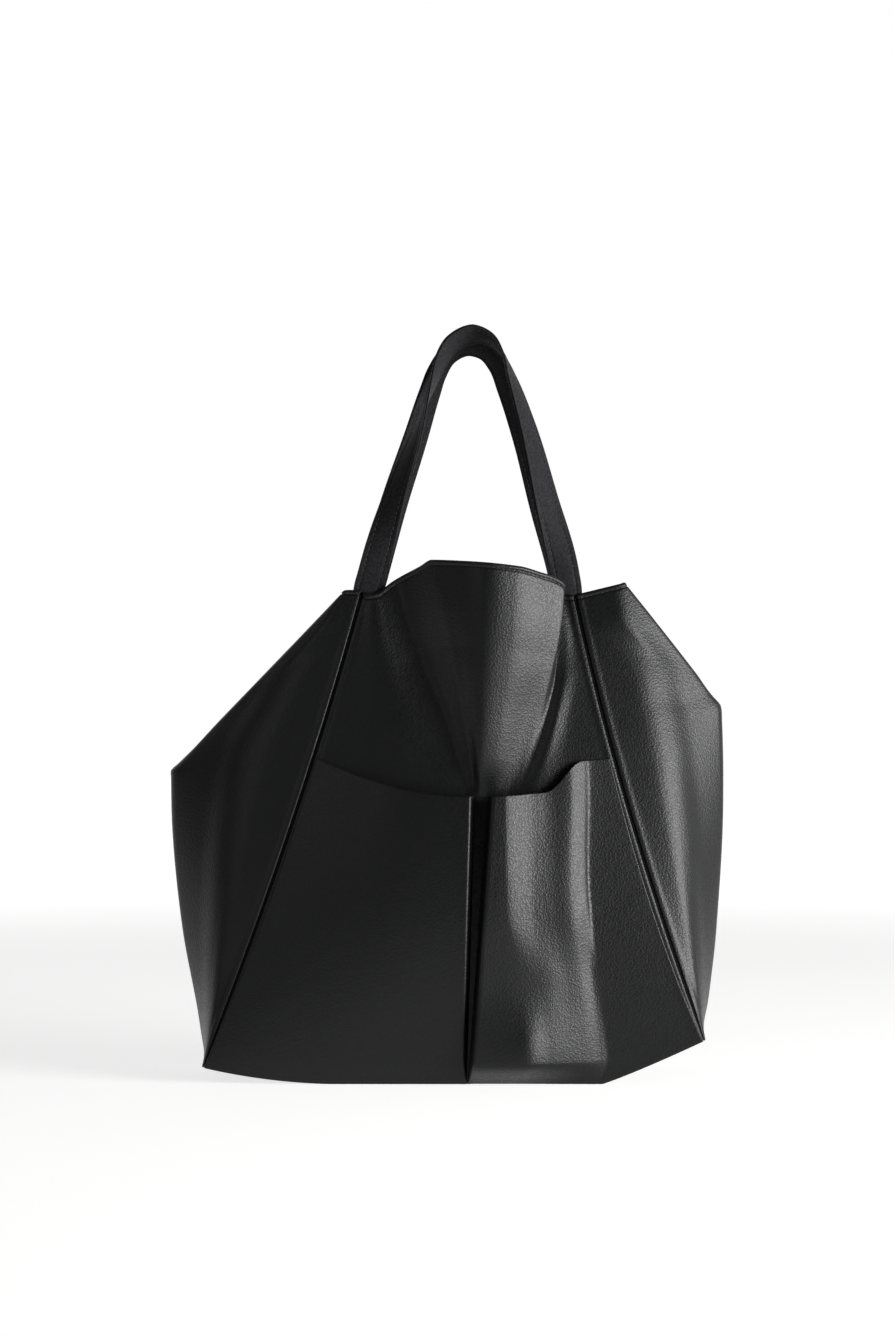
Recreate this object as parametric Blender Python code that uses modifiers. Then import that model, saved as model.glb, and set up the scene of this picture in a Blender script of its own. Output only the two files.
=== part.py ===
"""Slouchy leather tote bag with two outside pockets, as it hangs by its two handles.

X runs to the wearer's right as seen from the front, Y runs from the front of the bag to its back
and Z is up. The origin is on the underside of the base. Every length is in metres.
"""

import math

import bpy
import numpy as np

# Leather, board and the clearance between pieces that touch
LEATHER = 0.0018
FACING_LEATHER = 0.0010
STRAP_PLY = 0.0014
BOARD = 0.0020
TOUCH = 0.0003

# Base: width between the bottom corners, depth, and how far each end curls up
BASE_WIDTH = 0.448
BASE_SHIFT = 0.006
BASE_DEPTH = 0.140
LEFT_CURL = 0.015
RIGHT_CURL = 0.039
FLAT_LEFT = 0.090
FLAT_RIGHT = 0.137

# Mouth: width between the front seams, its shift to the right, height and depth at the seams
MOUTH_WIDTH = 0.191
MOUTH_SHIFT = 0.0195
MOUTH_DEPTH = 0.076
MOUTH_HEIGHT = 0.4405
RIGHT_SEAM_DROP = 0.0045
LEFT_SEAM_BOW = 0.007
RIGHT_SEAM_BOW = 0.008
SEAM_DEPTH_BOW = 0.006

# Side panels: the reach of each wing beyond its seam, and the inward tuck above it
LEFT_FLARE = 0.1277
RIGHT_FLARE = 0.1096
LEFT_KINK = 0.616
RIGHT_KINK = 0.725
LEFT_FLARE_SHAPE = (
    (0, 0), (0.07, 0.13), (0.282, 0.538), (0.49, 0.853), (0.602, 0.985), (0.616, 1), (0.630, 0.967),
    (0.787, 0.615), (1, 0.128),
)
RIGHT_FLARE_SHAPE = (
    (0, 0), (0.103, 0.208), (0.235, 0.436), (0.5, 0.795), (0.695, 0.980), (0.725, 1), (0.750, 0.952),
    (0.906, 0.622), (1, 0.41),
)
TUCK_DEPTH = 0.050
TUCK_SPREAD = 0.60
TUCK_SAG = 0.030
FOLD_ROUNDING = 0.012
LEAST_FOLD_ROUNDING = 0.004
FOLD_SOFTNESS = 0.15
WING_BULGE = ((0, 0), (0.37, 0.25), (0.74, 0.50), (0.89, 0.65), (1, 1))
FOLD_COLUMN = 4 / 11
NARROWEST_FOLD = 0.12
SWELL = 0.002
SWELL_WIDTH = 0.50
EDGE_SHARE = 0.02
SHOULDER = 0.71
SHOULDER_ROUNDING = 0.06
SHOULDER_FROM = 0.80
SHOULDER_TO = 0.94
LEFT_FOLD_RISE = 0.0
RIGHT_FOLD_RISE = 0.0117

# Front panel: the funnel that its mouth is pushed into. The panel is lofted through lines that run up
# it: the left seam, a soft ridge, a valley, the middle of the left flank, the crest, two lines on the
# right flank, the lip, the fold behind it, a second ridge, a line beside the seam and the right seam.
# Each line has its place across the sheet. Then come, at the base and at each step up the funnel, its
# share of the way between the seams and its share of the funnel's depth.
FUNNEL_DEPTH = 0.046
FUNNEL_FOOT = 0.57
FUNNEL_STEPS = (0, 0.186, 0.395, 0.628, 0.837, 1)
LIP_PLACE = 0.74
FRONT_LINES = (
    (0.10, (0.152, 0.280, 0.304, 0.250, 0.174, 0.103, 0.052), (0, 0, 0.03, 0.08, 0.10, 0.09, 0.08)),
    (0.20, (0.308, 0.510, 0.476, 0.416, 0.317, 0.220, 0.152), (0, 0, 0, 0.01, 0.01, 0.01, 0.01)),
    (0.32, (0.420, 0.538, 0.525, 0.498, 0.455, 0.410, 0.382), (0, 0, 0.15, 0.33, 0.50, 0.59, 0.62)),
    (0.44, (0.531, 0.559, 0.562, 0.567, 0.576, 0.586, 0.592), (0, 0, 0.32, 0.56, 0.80, 0.94, 1)),
    (0.52, (0.598, 0.590, 0.610, 0.635, 0.670, 0.695, 0.712), (0, 0, 0.30, 0.52, 0.72, 0.85, 0.90)),
    (0.66, (0.688, 0.625, 0.670, 0.735, 0.817, 0.873, 0.906), (0, 0, 0.10, 0.20, 0.33, 0.42, 0.45)),
    (LIP_PLACE, (0.732, 0.645, 0.700, 0.770, 0.852, 0.915, 0.953), (0, 0, 0.05, 0.12, 0.22, 0.29, 0.32)),
    (0.82, (0.766, 0.670, 0.725, 0.795, 0.860, 0.888, 0.901), (0, 0.01, 0.03, 0.05, 0.08, 0.12, 0.14)),
    (0.90, (0.844, 0.725, 0.768, 0.832, 0.897, 0.932, 0.932), (0, 0.04, 0.07, 0.08, 0.06, 0.04, 0.02)),
    (0.95, (0.911, 0.837, 0.840, 0.885, 0.946, 0.961, 0.963), (0, 0.02, 0.04, 0.04, 0.03, 0.01, 0)),
)
FRONT_PILLOW = 0.009
PILLOW_TOP = 0.85
RIM_RISE = 0.0279
RIM_FALL = 0.08
RIM_SHAPE = (
    (0, 0), (0.020, -0.13), (0.084, -0.05), (0.108, 0.08), (0.148, 0.29), (0.192, 0.47),
    (0.281, 0.78), (0.341, 1), (0.5, 0.97), (0.776, 0.84), (0.876, 0.68), (0.934, 0.58), (0.978, 0.45), (1, 0.32),
)
FRONT_STRETCHES = ((5, 0, 0.20), (7, 0.20, 0.44), (9, 0.44, LIP_PLACE), (7, LIP_PLACE, 0.90), (3, 0.90, 1))
FRONT_ROWS = 16
FRONT_FACING_COLUMNS = (6, 19)

# Back panel
BACK_FLAT_FOR_STRAP = 0.13
BACK_PILLOW = 0.012
BACK_MOUTH_BOW = 0.022
BACK_RIM_RISE = 0.016
BACK_COLUMNS = 18
BACK_ROWS = 11
BACK_FACING_FROM = 3

# Outside pockets
POCKET_SIDE_HEIGHT = 0.289
POCKET_DROP = 0.033
SLIT_TOP = 0.0307
SLIT_BOTTOM = 0.0180
SLIT_WIDTH_TOP = 0.0115
SLIT_WIDTH_BOTTOM = 0.0010
LEFT_GAPE = 0.019
RIGHT_GAPE = 0.0265
POCKET_EASE = 0.0006
POCKET_EDGE_EASE = 0.0012
POCKET_ROLL = 0.005
ROLL_FROM = 0.86
# Each line: its place from the side seam to the roll beside the slit, then at each height its share of
# that way and its share of the pocket's gape.
POCKET_HEIGHTS = (0, 0.12, 0.35, 0.6, 1)
LEFT_POCKET_LINES = (
    (0.30, (0.30, 0.30, 0.30, 0.30, 0.30), (0, 0.21, 0.37, 0.45, 0.47)),
    (0.65, (0.65, 0.65, 0.65, 0.65, 0.65), (0, 0.42, 0.71, 0.84, 0.895)),
    (1, (1, 1, 1, 1, 1), (0, 0.47, 0.79, 0.95, 1)),
)
RIGHT_POCKET_LINES = (
    (0.22, (0.454, 0.440, 0.405, 0.345, 0.179), (0, 0.045, 0.045, 0.045, 0.060)),
    (0.28, (0.473, 0.461, 0.435, 0.384, 0.238), (0, 0.113, 0.158, 0.174, 0.196)),
    (0.38, (0.542, 0.535, 0.513, 0.488, 0.366), (0, 0.351, 0.355, 0.411, 0.404)),
    (0.50, (0.631, 0.629, 0.602, 0.596, 0.542), (0, 0.626, 0.566, 0.487, 0.460)),
    (0.62, (0.710, 0.724, 0.710, 0.708, 0.679), (0, 0.792, 0.664, 0.604, 0.589)),
    (0.78, (0.853, 0.871, 0.877, 0.882, 0.925), (0, 0.830, 0.800, 0.928, 0.974)),
    (1, (1, 1, 1, 1, 1), (0, 0.83, 0.845, 0.981, 1)),
)
POCKET_ROWS = 12

# Rim facing
FACING_HEIGHT = 0.030
FACING_ROWS = 3

# Handles
STRAP_WIDTH = 0.025
STRAP_END_DROP = 0.040
HINGE_RISE = 0.0145
HINGE_GAP = 0.0008
HANDLE_DROP = 0.2315
HANG_RADIUS = 0.030
HANDLE_CENTRE = 0.024
STRAP_FROM_SEAM = 0.008
REAR_HANDLE_LOWER = 0.009
HANG_TILT = math.radians(30)
FRONT_SPIN = ((0, 0), (0.16, 0), (0.40, 33), (0.62, 56), (0.80, 74), (1, 120))
REAR_SPIN = ((0, 0), (0.16, 0), (0.40, 20), (0.62, 36), (0.80, 48), (1, 60))

# Loose board in the base
BOARD_LEFT = 0.088
BOARD_RIGHT = 0.132
BOARD_MARGIN = 0.006
BOARD_CORNER = 0.010

# Looks: linear colour and roughness
PANEL_LOOK = ((0.020, 0.020, 0.022), 0.42)
FACING_LOOK = ((0.024, 0.024, 0.025), 0.55)
STRAP_LOOK = ((0.022, 0.022, 0.024), 0.48)
WELT_LOOK = ((0.008, 0.008, 0.008), 0.60)
BOARD_LOOK = ((0.045, 0.040, 0.036), 0.85)

SETBACK = LEATHER + TOUCH
TRIM_REACH = 4
WELT_RADIUS = LEATHER / 2
WELT_SHORT = 0.004
PART = "tote_bag"


def through(knots, values, at):
    """Smooth curve through values at knots, each of which may be an array shaped as at.

    Its pieces are cubic with harmonic-mean slopes, so it never overshoots, and it lies flat at each
    highest or lowest value.
    """
    steps = np.diff(values, axis=0) / np.diff(knots).reshape(-1, *[1] * (values.ndim - 1))
    product = steps[:-1] * steps[1:]
    inner = np.where(product > 0, 2 * product / np.where(product > 0, steps[:-1] + steps[1:], 1), 0)
    slopes = np.concatenate([steps[:1], inner, steps[-1:]])
    at = np.clip(at, knots[0], knots[-1])
    below = np.clip(np.searchsorted(knots, at) - 1, 0, len(knots) - 2)
    width = knots[below + 1] - knots[below]
    t = (at - knots[below]) / width

    def nearby(table, step):
        return np.take_along_axis(table, (below + step)[None], 0)[0]

    rise = nearby(values, 0) * (1 + 2 * t) * (1 - t) ** 2 + nearby(values, 1) * t * t * (3 - 2 * t)
    return rise + width * (nearby(slopes, 0) * t * (1 - t) ** 2 - nearby(slopes, 1) * t * t * (1 - t))


def curve_through(points, at):
    """The same smooth curve through fixed (position, value) points."""
    knots, values = (np.array(c, float) for c in zip(*points))
    at = np.asarray(at, float)
    return through(knots, values.reshape(-1, *[1] * at.ndim) + 0 * at, at)


def blend(a, b, t):
    """Straight-line mix of a and b."""
    return a + (b - a) * t


def ease(t):
    """0 below 0, 1 above 1, with a smooth rise between."""
    t = np.clip(t, 0, 1)
    return t * t * (3 - 2 * t)


def soft_least(a, b, rounding):
    """The smaller of a and b, rounded off where they cross."""
    h = np.clip(0.5 + 0.5 * (b - a) / rounding, 0, 1)
    return blend(b, a, h) - rounding * h * (1 - h)


def base_corner(side):
    return BASE_SHIFT + side * BASE_WIDTH / 2


def base_lift(x):
    """Height of the base's underside: flat in the middle and curling up at both ends."""
    left = np.clip((-FLAT_LEFT - x) / (-FLAT_LEFT - base_corner(-1)), 0, None)
    right = np.clip((x - FLAT_RIGHT) / (base_corner(1) - FLAT_RIGHT), 0, None)
    return LEFT_CURL * left**2 + RIGHT_CURL * right**1.1


def seam_x(side, v):
    """Where the front and back seams of one side stand, from the base at v 0 to the rim at v 1."""
    bow = LEFT_SEAM_BOW if side < 0 else RIGHT_SEAM_BOW
    top = MOUTH_SHIFT + side * MOUTH_WIDTH / 2
    return blend(base_corner(side), top, v) - side * bow * 4 * v * (1 - v)


def seam_top(side):
    return MOUTH_HEIGHT - (RIGHT_SEAM_DROP if side > 0 else 0)


def half_depth(v):
    """Half the bag's depth at its four seams."""
    return blend(BASE_DEPTH / 2, MOUTH_DEPTH / 2, v) + SEAM_DEPTH_BOW * 4 * v * (1 - v)


def wall(w, v, pillow):
    """A plain wall between the seams, w across and v up, as x, distance from the middle plane, and z."""
    x = blend(seam_x(-1, v), seam_x(1, v), w)
    sag = pillow * np.sin(math.pi * np.clip(w, 0, 1)) * np.sin(math.pi * np.clip(v / PILLOW_TOP, 0, 1))
    low = base_lift(blend(base_corner(-1), base_corner(1), w))
    return x, half_depth(v) + sag, blend(low, blend(seam_top(-1), seam_top(1), w), v)


def front_lines(v):
    """Places across of the front panel's lines, and at heights v their share across and depth."""
    heights = [0, *[blend(FUNNEL_FOOT, 1, step) for step in FUNNEL_STEPS]]
    across = [curve_through(tuple(zip(heights, line[1])), v) for line in FRONT_LINES]
    forward = [FUNNEL_DEPTH * curve_through(tuple(zip(heights, line[2])), v) for line in FRONT_LINES]
    places = np.array([0, *[line[0] for line in FRONT_LINES], 1])
    return places, np.stack([0 * v, *across, 0 * v + 1]), np.stack([0 * v, *forward, 0 * v])


def front_rim_rise(u):
    """Height of the rim over the line between the seam tops: RIM_SHAPE runs from the left seam to the
    lip, and behind the lip the rim falls back to that line."""
    places, across, _ = front_lines(np.ones_like(u))
    lip = across[list(places).index(LIP_PLACE)]
    share = through(places, across, np.minimum(u, LIP_PLACE)) / lip
    return RIM_RISE * curve_through(RIM_SHAPE, share) * (1 - ease((u - LIP_PLACE) / RIM_FALL))


def front_surface(u, v):
    """Outer face of the front panel as points: the plain wall, moved forward along the lines."""
    places, across, forward = front_lines(v)
    w = through(places, across, u)
    x, depth, z = wall(w, v, FRONT_PILLOW)
    rise = front_rim_rise(u) * np.clip((v - FUNNEL_FOOT) / (1 - FUNNEL_FOOT), 0, 1)
    return np.stack([x, -depth - through(places, forward, u), z + rise], -1)


def front_face_y(x, z):
    """Depth of the front panel's outer face below the funnel, at a place seen from the front."""
    v = z / MOUTH_HEIGHT
    for _ in range(4):
        w = (x - seam_x(-1, v)) / (seam_x(1, v) - seam_x(-1, v))
        low = base_lift(blend(base_corner(-1), base_corner(1), w))
        v = np.clip((z - low) / (blend(seam_top(-1), seam_top(1), w) - low), 0, 1)
    return -wall(w, v, FRONT_PILLOW)[1]


def back_surface(u, v):
    """Outer face of the back panel: a plain wall with a bow and a rise between the handle's feet."""
    middle = ease((0.5 - np.abs(u - 0.5) - BACK_FLAT_FOR_STRAP) / (0.5 - BACK_FLAT_FOR_STRAP))
    x, depth, z = wall(u, v, BACK_PILLOW)
    mouth = BACK_MOUTH_BOW * middle * ease((v - 0.5) / 0.5)
    return np.stack([x, depth + mouth, z + BACK_RIM_RISE * middle * v], -1)


def columns_along_folds(t, spread):
    """Moves columns, -1 at the front seam to 1 at the back one, so that two of them lie on the folds."""
    inside = np.abs(t) / FOLD_COLUMN * spread
    outside = spread + (np.abs(t) - FOLD_COLUMN) / (1 - FOLD_COLUMN) * (1 - spread)
    return np.sign(t) * np.where(np.abs(t) < FOLD_COLUMN, inside, outside)


def side_surface(side, s, v):
    """Outer face of a side panel, from its front seam at s 0 round its fold to its back seam at s 1.

    Below the kink the panel is one wing with a fold down its middle. Above it the fold parts in two,
    and the leather between them tucks into the mouth. Near the rim the panel leaves each seam level
    with the front or back panel, as a shoulder that the handle's foot lies behind.
    """
    kink = LEFT_KINK if side < 0 else RIGHT_KINK
    reach = LEFT_FLARE if side < 0 else RIGHT_FLARE
    shape = LEFT_FLARE_SHAPE if side < 0 else RIGHT_FLARE_SHAPE
    fold_rise = LEFT_FOLD_RISE if side < 0 else RIGHT_FOLD_RISE
    flare = reach * curve_through(shape, v)
    tucked = np.clip((v - kink) / (1 - kink), 0, 1)
    spread = TUCK_SPREAD * tucked
    run = math.hypot(1, FOLD_SOFTNESS) - FOLD_SOFTNESS
    shoulder = ease((v - SHOULDER_FROM) / (SHOULDER_TO - SHOULDER_FROM))
    folded = np.maximum(spread, NARROWEST_FOLD)
    folded = blend(curve_through([pair[::-1] for pair in WING_BULGE], folded), folded, shoulder)
    t = columns_along_folds(2 * s - 1, np.sqrt((folded * run + FOLD_SOFTNESS) ** 2 - FOLD_SOFTNESS**2))
    away = (np.sqrt(t * t + FOLD_SOFTNESS**2) - FOLD_SOFTNESS) / run
    away = blend(curve_through(WING_BULGE, away), away, shoulder)
    rounding = np.minimum(FOLD_ROUNDING, 0.5 * flare + LEAST_FOLD_ROUNDING)
    wing = (flare + rounding / 4) * (1 - away) / (1 - spread)
    inner = flare + rounding / 4 - TUCK_DEPTH * (tucked - away / TUCK_SPREAD)
    out = blend(wing, soft_least(wing, inner, rounding), ease((1 - np.abs(t)) / EDGE_SHARE))
    swell = np.sin(math.pi * np.clip((1 - np.abs(t)) / SWELL_WIDTH, 0, 1)) ** 2
    pillow = SWELL * swell * np.sign(t) * np.sin(math.pi * v)
    toward_fold = np.clip((1 - away) / (1 - TUCK_SPREAD), 0, 1)
    sag = TUCK_SAG * tucked * ease(1 - away / np.maximum(spread, NARROWEST_FOLD))
    rim = seam_top(side) + fold_rise * toward_fold - sag
    low = base_lift(base_corner(side)) + 0 * s
    x = seam_x(side, v) + side * out
    across = blend(np.abs(t), soft_least(np.abs(t) / SHOULDER, 1 + 0 * t, SHOULDER_ROUNDING), shoulder)
    y = half_depth(v) * np.sign(t) * across + pillow
    return np.stack([x, y, blend(low, rim, v)], -1)


def grid_of(surface, across, up):
    """Points of a surface function on a grid of the given parameter values."""
    a, b = np.meshgrid(np.asarray(across, float), np.asarray(up, float), indexing="ij")
    return surface(a, b)


def spaced(count, low=0.0, high=1.0):
    return np.linspace(low, high, count + 1)


def normals_of(grid):
    """Unit normals of a grid of points, as the cross product of its two directions."""
    n = np.cross(np.gradient(grid, axis=0), np.gradient(grid, axis=1))
    return n / np.linalg.norm(n, axis=-1, keepdims=True)


def outward(grid):
    """+1 if the grid's own normals point away from the bag's middle, otherwise -1."""
    middle = np.array([MOUTH_SHIFT, 0, 0]) + grid[..., 2:3] * np.array([0, 0, 1])
    return 1 if np.sum(normals_of(grid) * (grid - middle)) > 0 else -1


def moved_in(grid, distance):
    """The grid moved towards the inside of the bag along its normals."""
    return grid - outward(grid) * normals_of(grid) * distance


def trimmed(grid, distance):
    """The grid drawn in along the surface at its first and last columns, to leave a seam gap.

    The columns within a few gaps of an edge close up with it, so none of them is passed.
    """
    lengths = np.linalg.norm(np.diff(grid, axis=0), axis=-1)
    run = np.concatenate([np.zeros((1, grid.shape[1])), np.cumsum(lengths, axis=0)])
    near_first = np.clip(1 - run / (TRIM_REACH * distance), 0, 1)
    near_last = np.clip(1 - (run[-1] - run) / (TRIM_REACH * distance), 0, 1)
    wanted = run + distance * (near_first - near_last)
    drawn = grid.copy()
    for row in range(grid.shape[1]):
        for axis in range(3):
            drawn[:, row, axis] = np.interp(wanted[:, row], run[:, row], grid[:, row, axis])
    return drawn


def material(name, look):
    """The node's own material, from a look of (colour, roughness)."""
    colour, roughness = look
    made = bpy.data.materials.new(name)
    made.use_nodes = True
    shader = made.node_tree.nodes["Principled BSDF"]
    shader.inputs["Base Color"].default_value = (*colour, 1)
    shader.inputs["Roughness"].default_value = roughness
    shader.inputs["Metallic"].default_value = 0.0
    return made


def add_object(name, data, look, hinge=None):
    """Links a node. One that moves hangs from an empty on its joint's axis."""
    data.materials.append(material(name, look))
    made = bpy.data.objects.new(name, data)
    parts.objects.link(made)
    if hinge:
        made.parent = hinge
        made.location = -hinge.location
    return made


def add_mesh(name, points, faces, look, smooth=True, hinge=None):
    mesh = bpy.data.meshes.new(name)
    mesh.from_pydata([tuple(p) for p in points], [], faces)
    mesh.validate()
    if smooth:
        mesh.shade_smooth()
    return add_object(name, mesh, look, hinge)


def sheet(name, grid, thickness, look, offset=-1.0):
    """A leather sheet: an open grid that faces out of the bag, thickened by Solidify."""
    rows, columns = grid.shape[:2]
    index = np.arange(rows * columns).reshape(rows, columns)
    quads = np.stack([index[:-1, :-1], index[1:, :-1], index[1:, 1:], index[:-1, 1:]], -1).reshape(-1, 4)
    if outward(grid) < 0:
        quads = quads[:, ::-1]
    made = add_mesh(name, grid.reshape(-1, 3), quads.tolist(), look)
    thicken(made, thickness, offset)
    return made


def thicken(made, thickness, offset):
    solid = made.modifiers.new("thickness", "SOLIDIFY")
    solid.thickness = thickness
    solid.offset = offset


def panel_columns():
    """Values of u for the front panel, closer together where the lip turns."""
    return np.concatenate([[0]] + [spaced(*stretch)[1:] for stretch in FRONT_STRETCHES])


def make_panels():
    front = trimmed(grid_of(front_surface, panel_columns(), panel_rows(FRONT_ROWS)), SETBACK)
    sheet("front_panel", front, LEATHER, PANEL_LOOK)
    make_facing("front_rim_facing", front, *FRONT_FACING_COLUMNS)
    back = trimmed(grid_of(back_surface, spaced(BACK_COLUMNS), panel_rows(BACK_ROWS)), SETBACK)
    sheet("back_panel", back, LEATHER, PANEL_LOOK)
    make_facing("back_rim_facing", back, BACK_FACING_FROM, BACK_COLUMNS - BACK_FACING_FROM)
    for side, name in ((-1, "left_side_panel"), (1, "right_side_panel")):
        grid = grid_of(lambda s, v, side=side: side_surface(side, s, v), spaced(22), spaced(17))
        sheet(name, trimmed(grid, SETBACK), LEATHER, PANEL_LOOK)


def make_welts():
    """The dark welt in each of the four upright seams, sunk in the groove between two panels."""
    for side, side_name in ((-1, "left"), (1, "right")):
        for end, end_name in ((-1, "front"), (1, "back")):
            v = spaced(14, WELT_SHORT, 1 - WELT_SHORT)
            low, high = base_lift(base_corner(side)), seam_top(side)
            x = seam_x(side, v) - side * WELT_RADIUS
            y = end * (half_depth(v) - WELT_RADIUS)
            line = np.stack([x, y, blend(low, high, v)], -1)
            tube(f"{end_name}_{side_name}_seam_welt", line, WELT_RADIUS, WELT_LOOK)


def tube(name, points, radius, look):
    curve = bpy.data.curves.new(name, "CURVE")
    curve.dimensions = "3D"
    spline = curve.splines.new("POLY")
    spline.points.add(len(points) - 1)
    for target, point in zip(spline.points, points):
        target.co = (*point, 1)
    curve.bevel_depth = radius
    curve.bevel_resolution = 1
    curve.use_fill_caps = True
    add_object(name, curve, look)


def make_base():
    """The base panel lies inside the foot of the walls, and a loose board lies on it."""
    x = np.linspace(base_corner(-1) + SETBACK, base_corner(1) - SETBACK, 29)
    y = np.linspace(-BASE_DEPTH / 2 + SETBACK, BASE_DEPTH / 2 - SETBACK, 4)
    a, b = np.meshgrid(x, y, indexing="ij")
    under = np.stack([a, b, base_lift(a)], -1)
    index = np.arange(under.shape[0] * under.shape[1]).reshape(under.shape[:2])
    quads = np.stack([index[:-1, :-1], index[:-1, 1:], index[1:, 1:], index[1:, :-1]], -1).reshape(-1, 4)
    base = add_mesh("base_panel", under.reshape(-1, 3), quads.tolist(), PANEL_LOOK)
    thicken(base, LEATHER, -1.0)
    make_board()


def make_board():
    left, right = -BOARD_LEFT, BOARD_RIGHT
    front = BASE_DEPTH / 2 - BOARD_MARGIN
    outline = []
    corners = ((right, front, 0), (left, front, 90), (left, -front, 180), (right, -front, 270))
    for cx, cy, start in corners:
        for step in range(5):
            angle = math.radians(start + 22.5 * step)
            x = cx - math.copysign(BOARD_CORNER, cx) + BOARD_CORNER * math.cos(angle)
            y = cy - math.copysign(BOARD_CORNER, cy) + BOARD_CORNER * math.sin(angle)
            outline.append((x, y, LEATHER + TOUCH))
    board = add_mesh("base_board", outline, [tuple(range(len(outline)))], BOARD_LOOK, smooth=False)
    thicken(board, BOARD, 1.0)


def slit_edge(side, z):
    """Where a pocket's inner edge stands beside the slit between the two pockets."""
    up = np.clip(z / (POCKET_SIDE_HEIGHT - POCKET_DROP), 0, 1)
    middle = blend(SLIT_BOTTOM, SLIT_TOP, up)
    return middle + side * blend(SLIT_WIDTH_BOTTOM, SLIT_WIDTH_TOP, up) / 2


def pocket_drop(side, f):
    """How far a pocket's top edge hangs below its height at the side seam."""
    if side < 0:
        return POCKET_DROP * np.sin(math.pi / 2 * f)
    return POCKET_DROP * (0.25 * f + 0.75 * ease((f - 0.24) / 0.36))


def pocket_lines(side, q, r):
    """Share of the way from the seam to the slit, and distance off the front panel, at places q and r."""
    lines = LEFT_POCKET_LINES if side < 0 else RIGHT_POCKET_LINES
    gape = LEFT_GAPE if side < 0 else RIGHT_GAPE
    places = np.array([0, *[line[0] for line in lines]])
    across = [curve_through(tuple(zip(POCKET_HEIGHTS, line[1])), r) for line in lines]
    off = [gape * curve_through(tuple(zip(POCKET_HEIGHTS, line[2])), r) for line in lines]
    return through(places, np.stack([0 * r, *across]), q), through(places, np.stack([0 * r, *off]), q)


def pocket_surface(side, q, r):
    """Inner face of a pocket. Its last stretch rolls back to the front panel beside the slit."""
    f, gape = pocket_lines(side, np.clip(q / ROLL_FROM, 0, 1), r)
    turn = np.clip((q - ROLL_FROM) / (1 - ROLL_FROM), 0, 1) * math.pi / 2
    top = POCKET_SIDE_HEIGHT - pocket_drop(side, f)
    edge = slit_edge(side, r * top) + side * LEATHER
    seam = seam_x(side, r * top / MOUTH_HEIGHT) - side * SETBACK
    x = blend(seam, edge + side * POCKET_ROLL, f) - side * POCKET_ROLL * np.sin(turn) ** 0.7
    z = blend(base_lift(x), top, r)
    off = gape * np.cos(turn) + POCKET_EDGE_EASE * np.sin(turn)
    return np.stack([x, front_face_y(x, z) - POCKET_EASE - off, z], -1)


def make_pockets():
    columns = np.concatenate([spaced(15, 0, ROLL_FROM), spaced(6, ROLL_FROM, 1)[1:]])
    for side, name in ((-1, "left_pocket"), (1, "right_pocket")):
        grid = grid_of(lambda q, r, side=side: pocket_surface(side, q, r), columns, spaced(POCKET_ROWS))
        sheet(name, grid, LEATHER, PANEL_LOOK, offset=1.0)


def panel_rows(below):
    """Values of v for a panel, with its last few rows shared by the facing behind its rim."""
    first = 1 - FACING_HEIGHT / MOUTH_HEIGHT
    return np.concatenate([spaced(below, 0, first), spaced(FACING_ROWS, first, 1)[1:]])


def make_facing(name, panel, first, last):
    """A strip of thinner leather sewn behind a panel's rim, from its first column to its last."""
    strip = moved_in(panel, SETBACK)[first:last + 1, -FACING_ROWS - 1:]
    sheet(name, strip, FACING_LEATHER, FACING_LOOK)


def strap_thickness():
    return 2 * STRAP_PLY + TOUCH


def strap_depth():
    """Distance of a strap's middle from the outer face of the panel that it is sewn behind."""
    return LEATHER + TOUCH + strap_thickness() / 2


def hinge_height():
    return MOUTH_HEIGHT + HINGE_RISE


def hinge_depth(end):
    """The strap flexes about a line on its outer face, just above the rim."""
    return end * (MOUTH_DEPTH / 2 - strap_depth() + strap_thickness() / 2)


def foot_x(side):
    """Middle of a strap's sewn foot, which lies behind the seam and both of its panels."""
    return seam_x(side, 1) - side * STRAP_FROM_SEAM


def handle_line(end, count):
    """Middle line of a handle above its flex line: two straight legs over an arc at the top."""
    lower = REAR_HANDLE_LOWER if end > 0 else 0
    start = hinge_height() + HINGE_GAP / 2
    centre = np.array([HANDLE_CENTRE, MOUTH_HEIGHT + HANDLE_DROP - lower - HANG_RADIUS])
    legs = []
    for side in (-1, 1):
        foot = np.array([foot_x(side), start])
        away = foot - centre
        distance = np.linalg.norm(away)
        angle = math.atan2(away[1], away[0]) + side * math.acos(HANG_RADIUS / distance)
        angle = angle % (2 * math.pi)
        touch = centre + HANG_RADIUS * np.array([math.cos(angle), math.sin(angle)])
        legs.append((foot, touch, angle))
    last = legs[1][2] - (2 * math.pi if legs[1][2] > math.pi else 0)
    steps = count // 3
    left = [blend(legs[0][0], legs[0][1], t) for t in spaced(steps)[:-1]]
    angles = np.linspace(legs[0][2], last, steps)
    arc = [centre + HANG_RADIUS * np.array([math.cos(a), math.sin(a)]) for a in angles]
    right = [blend(legs[1][1], legs[1][0], t) for t in spaced(steps)[1:]]
    return np.array(left + arc + right)


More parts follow.
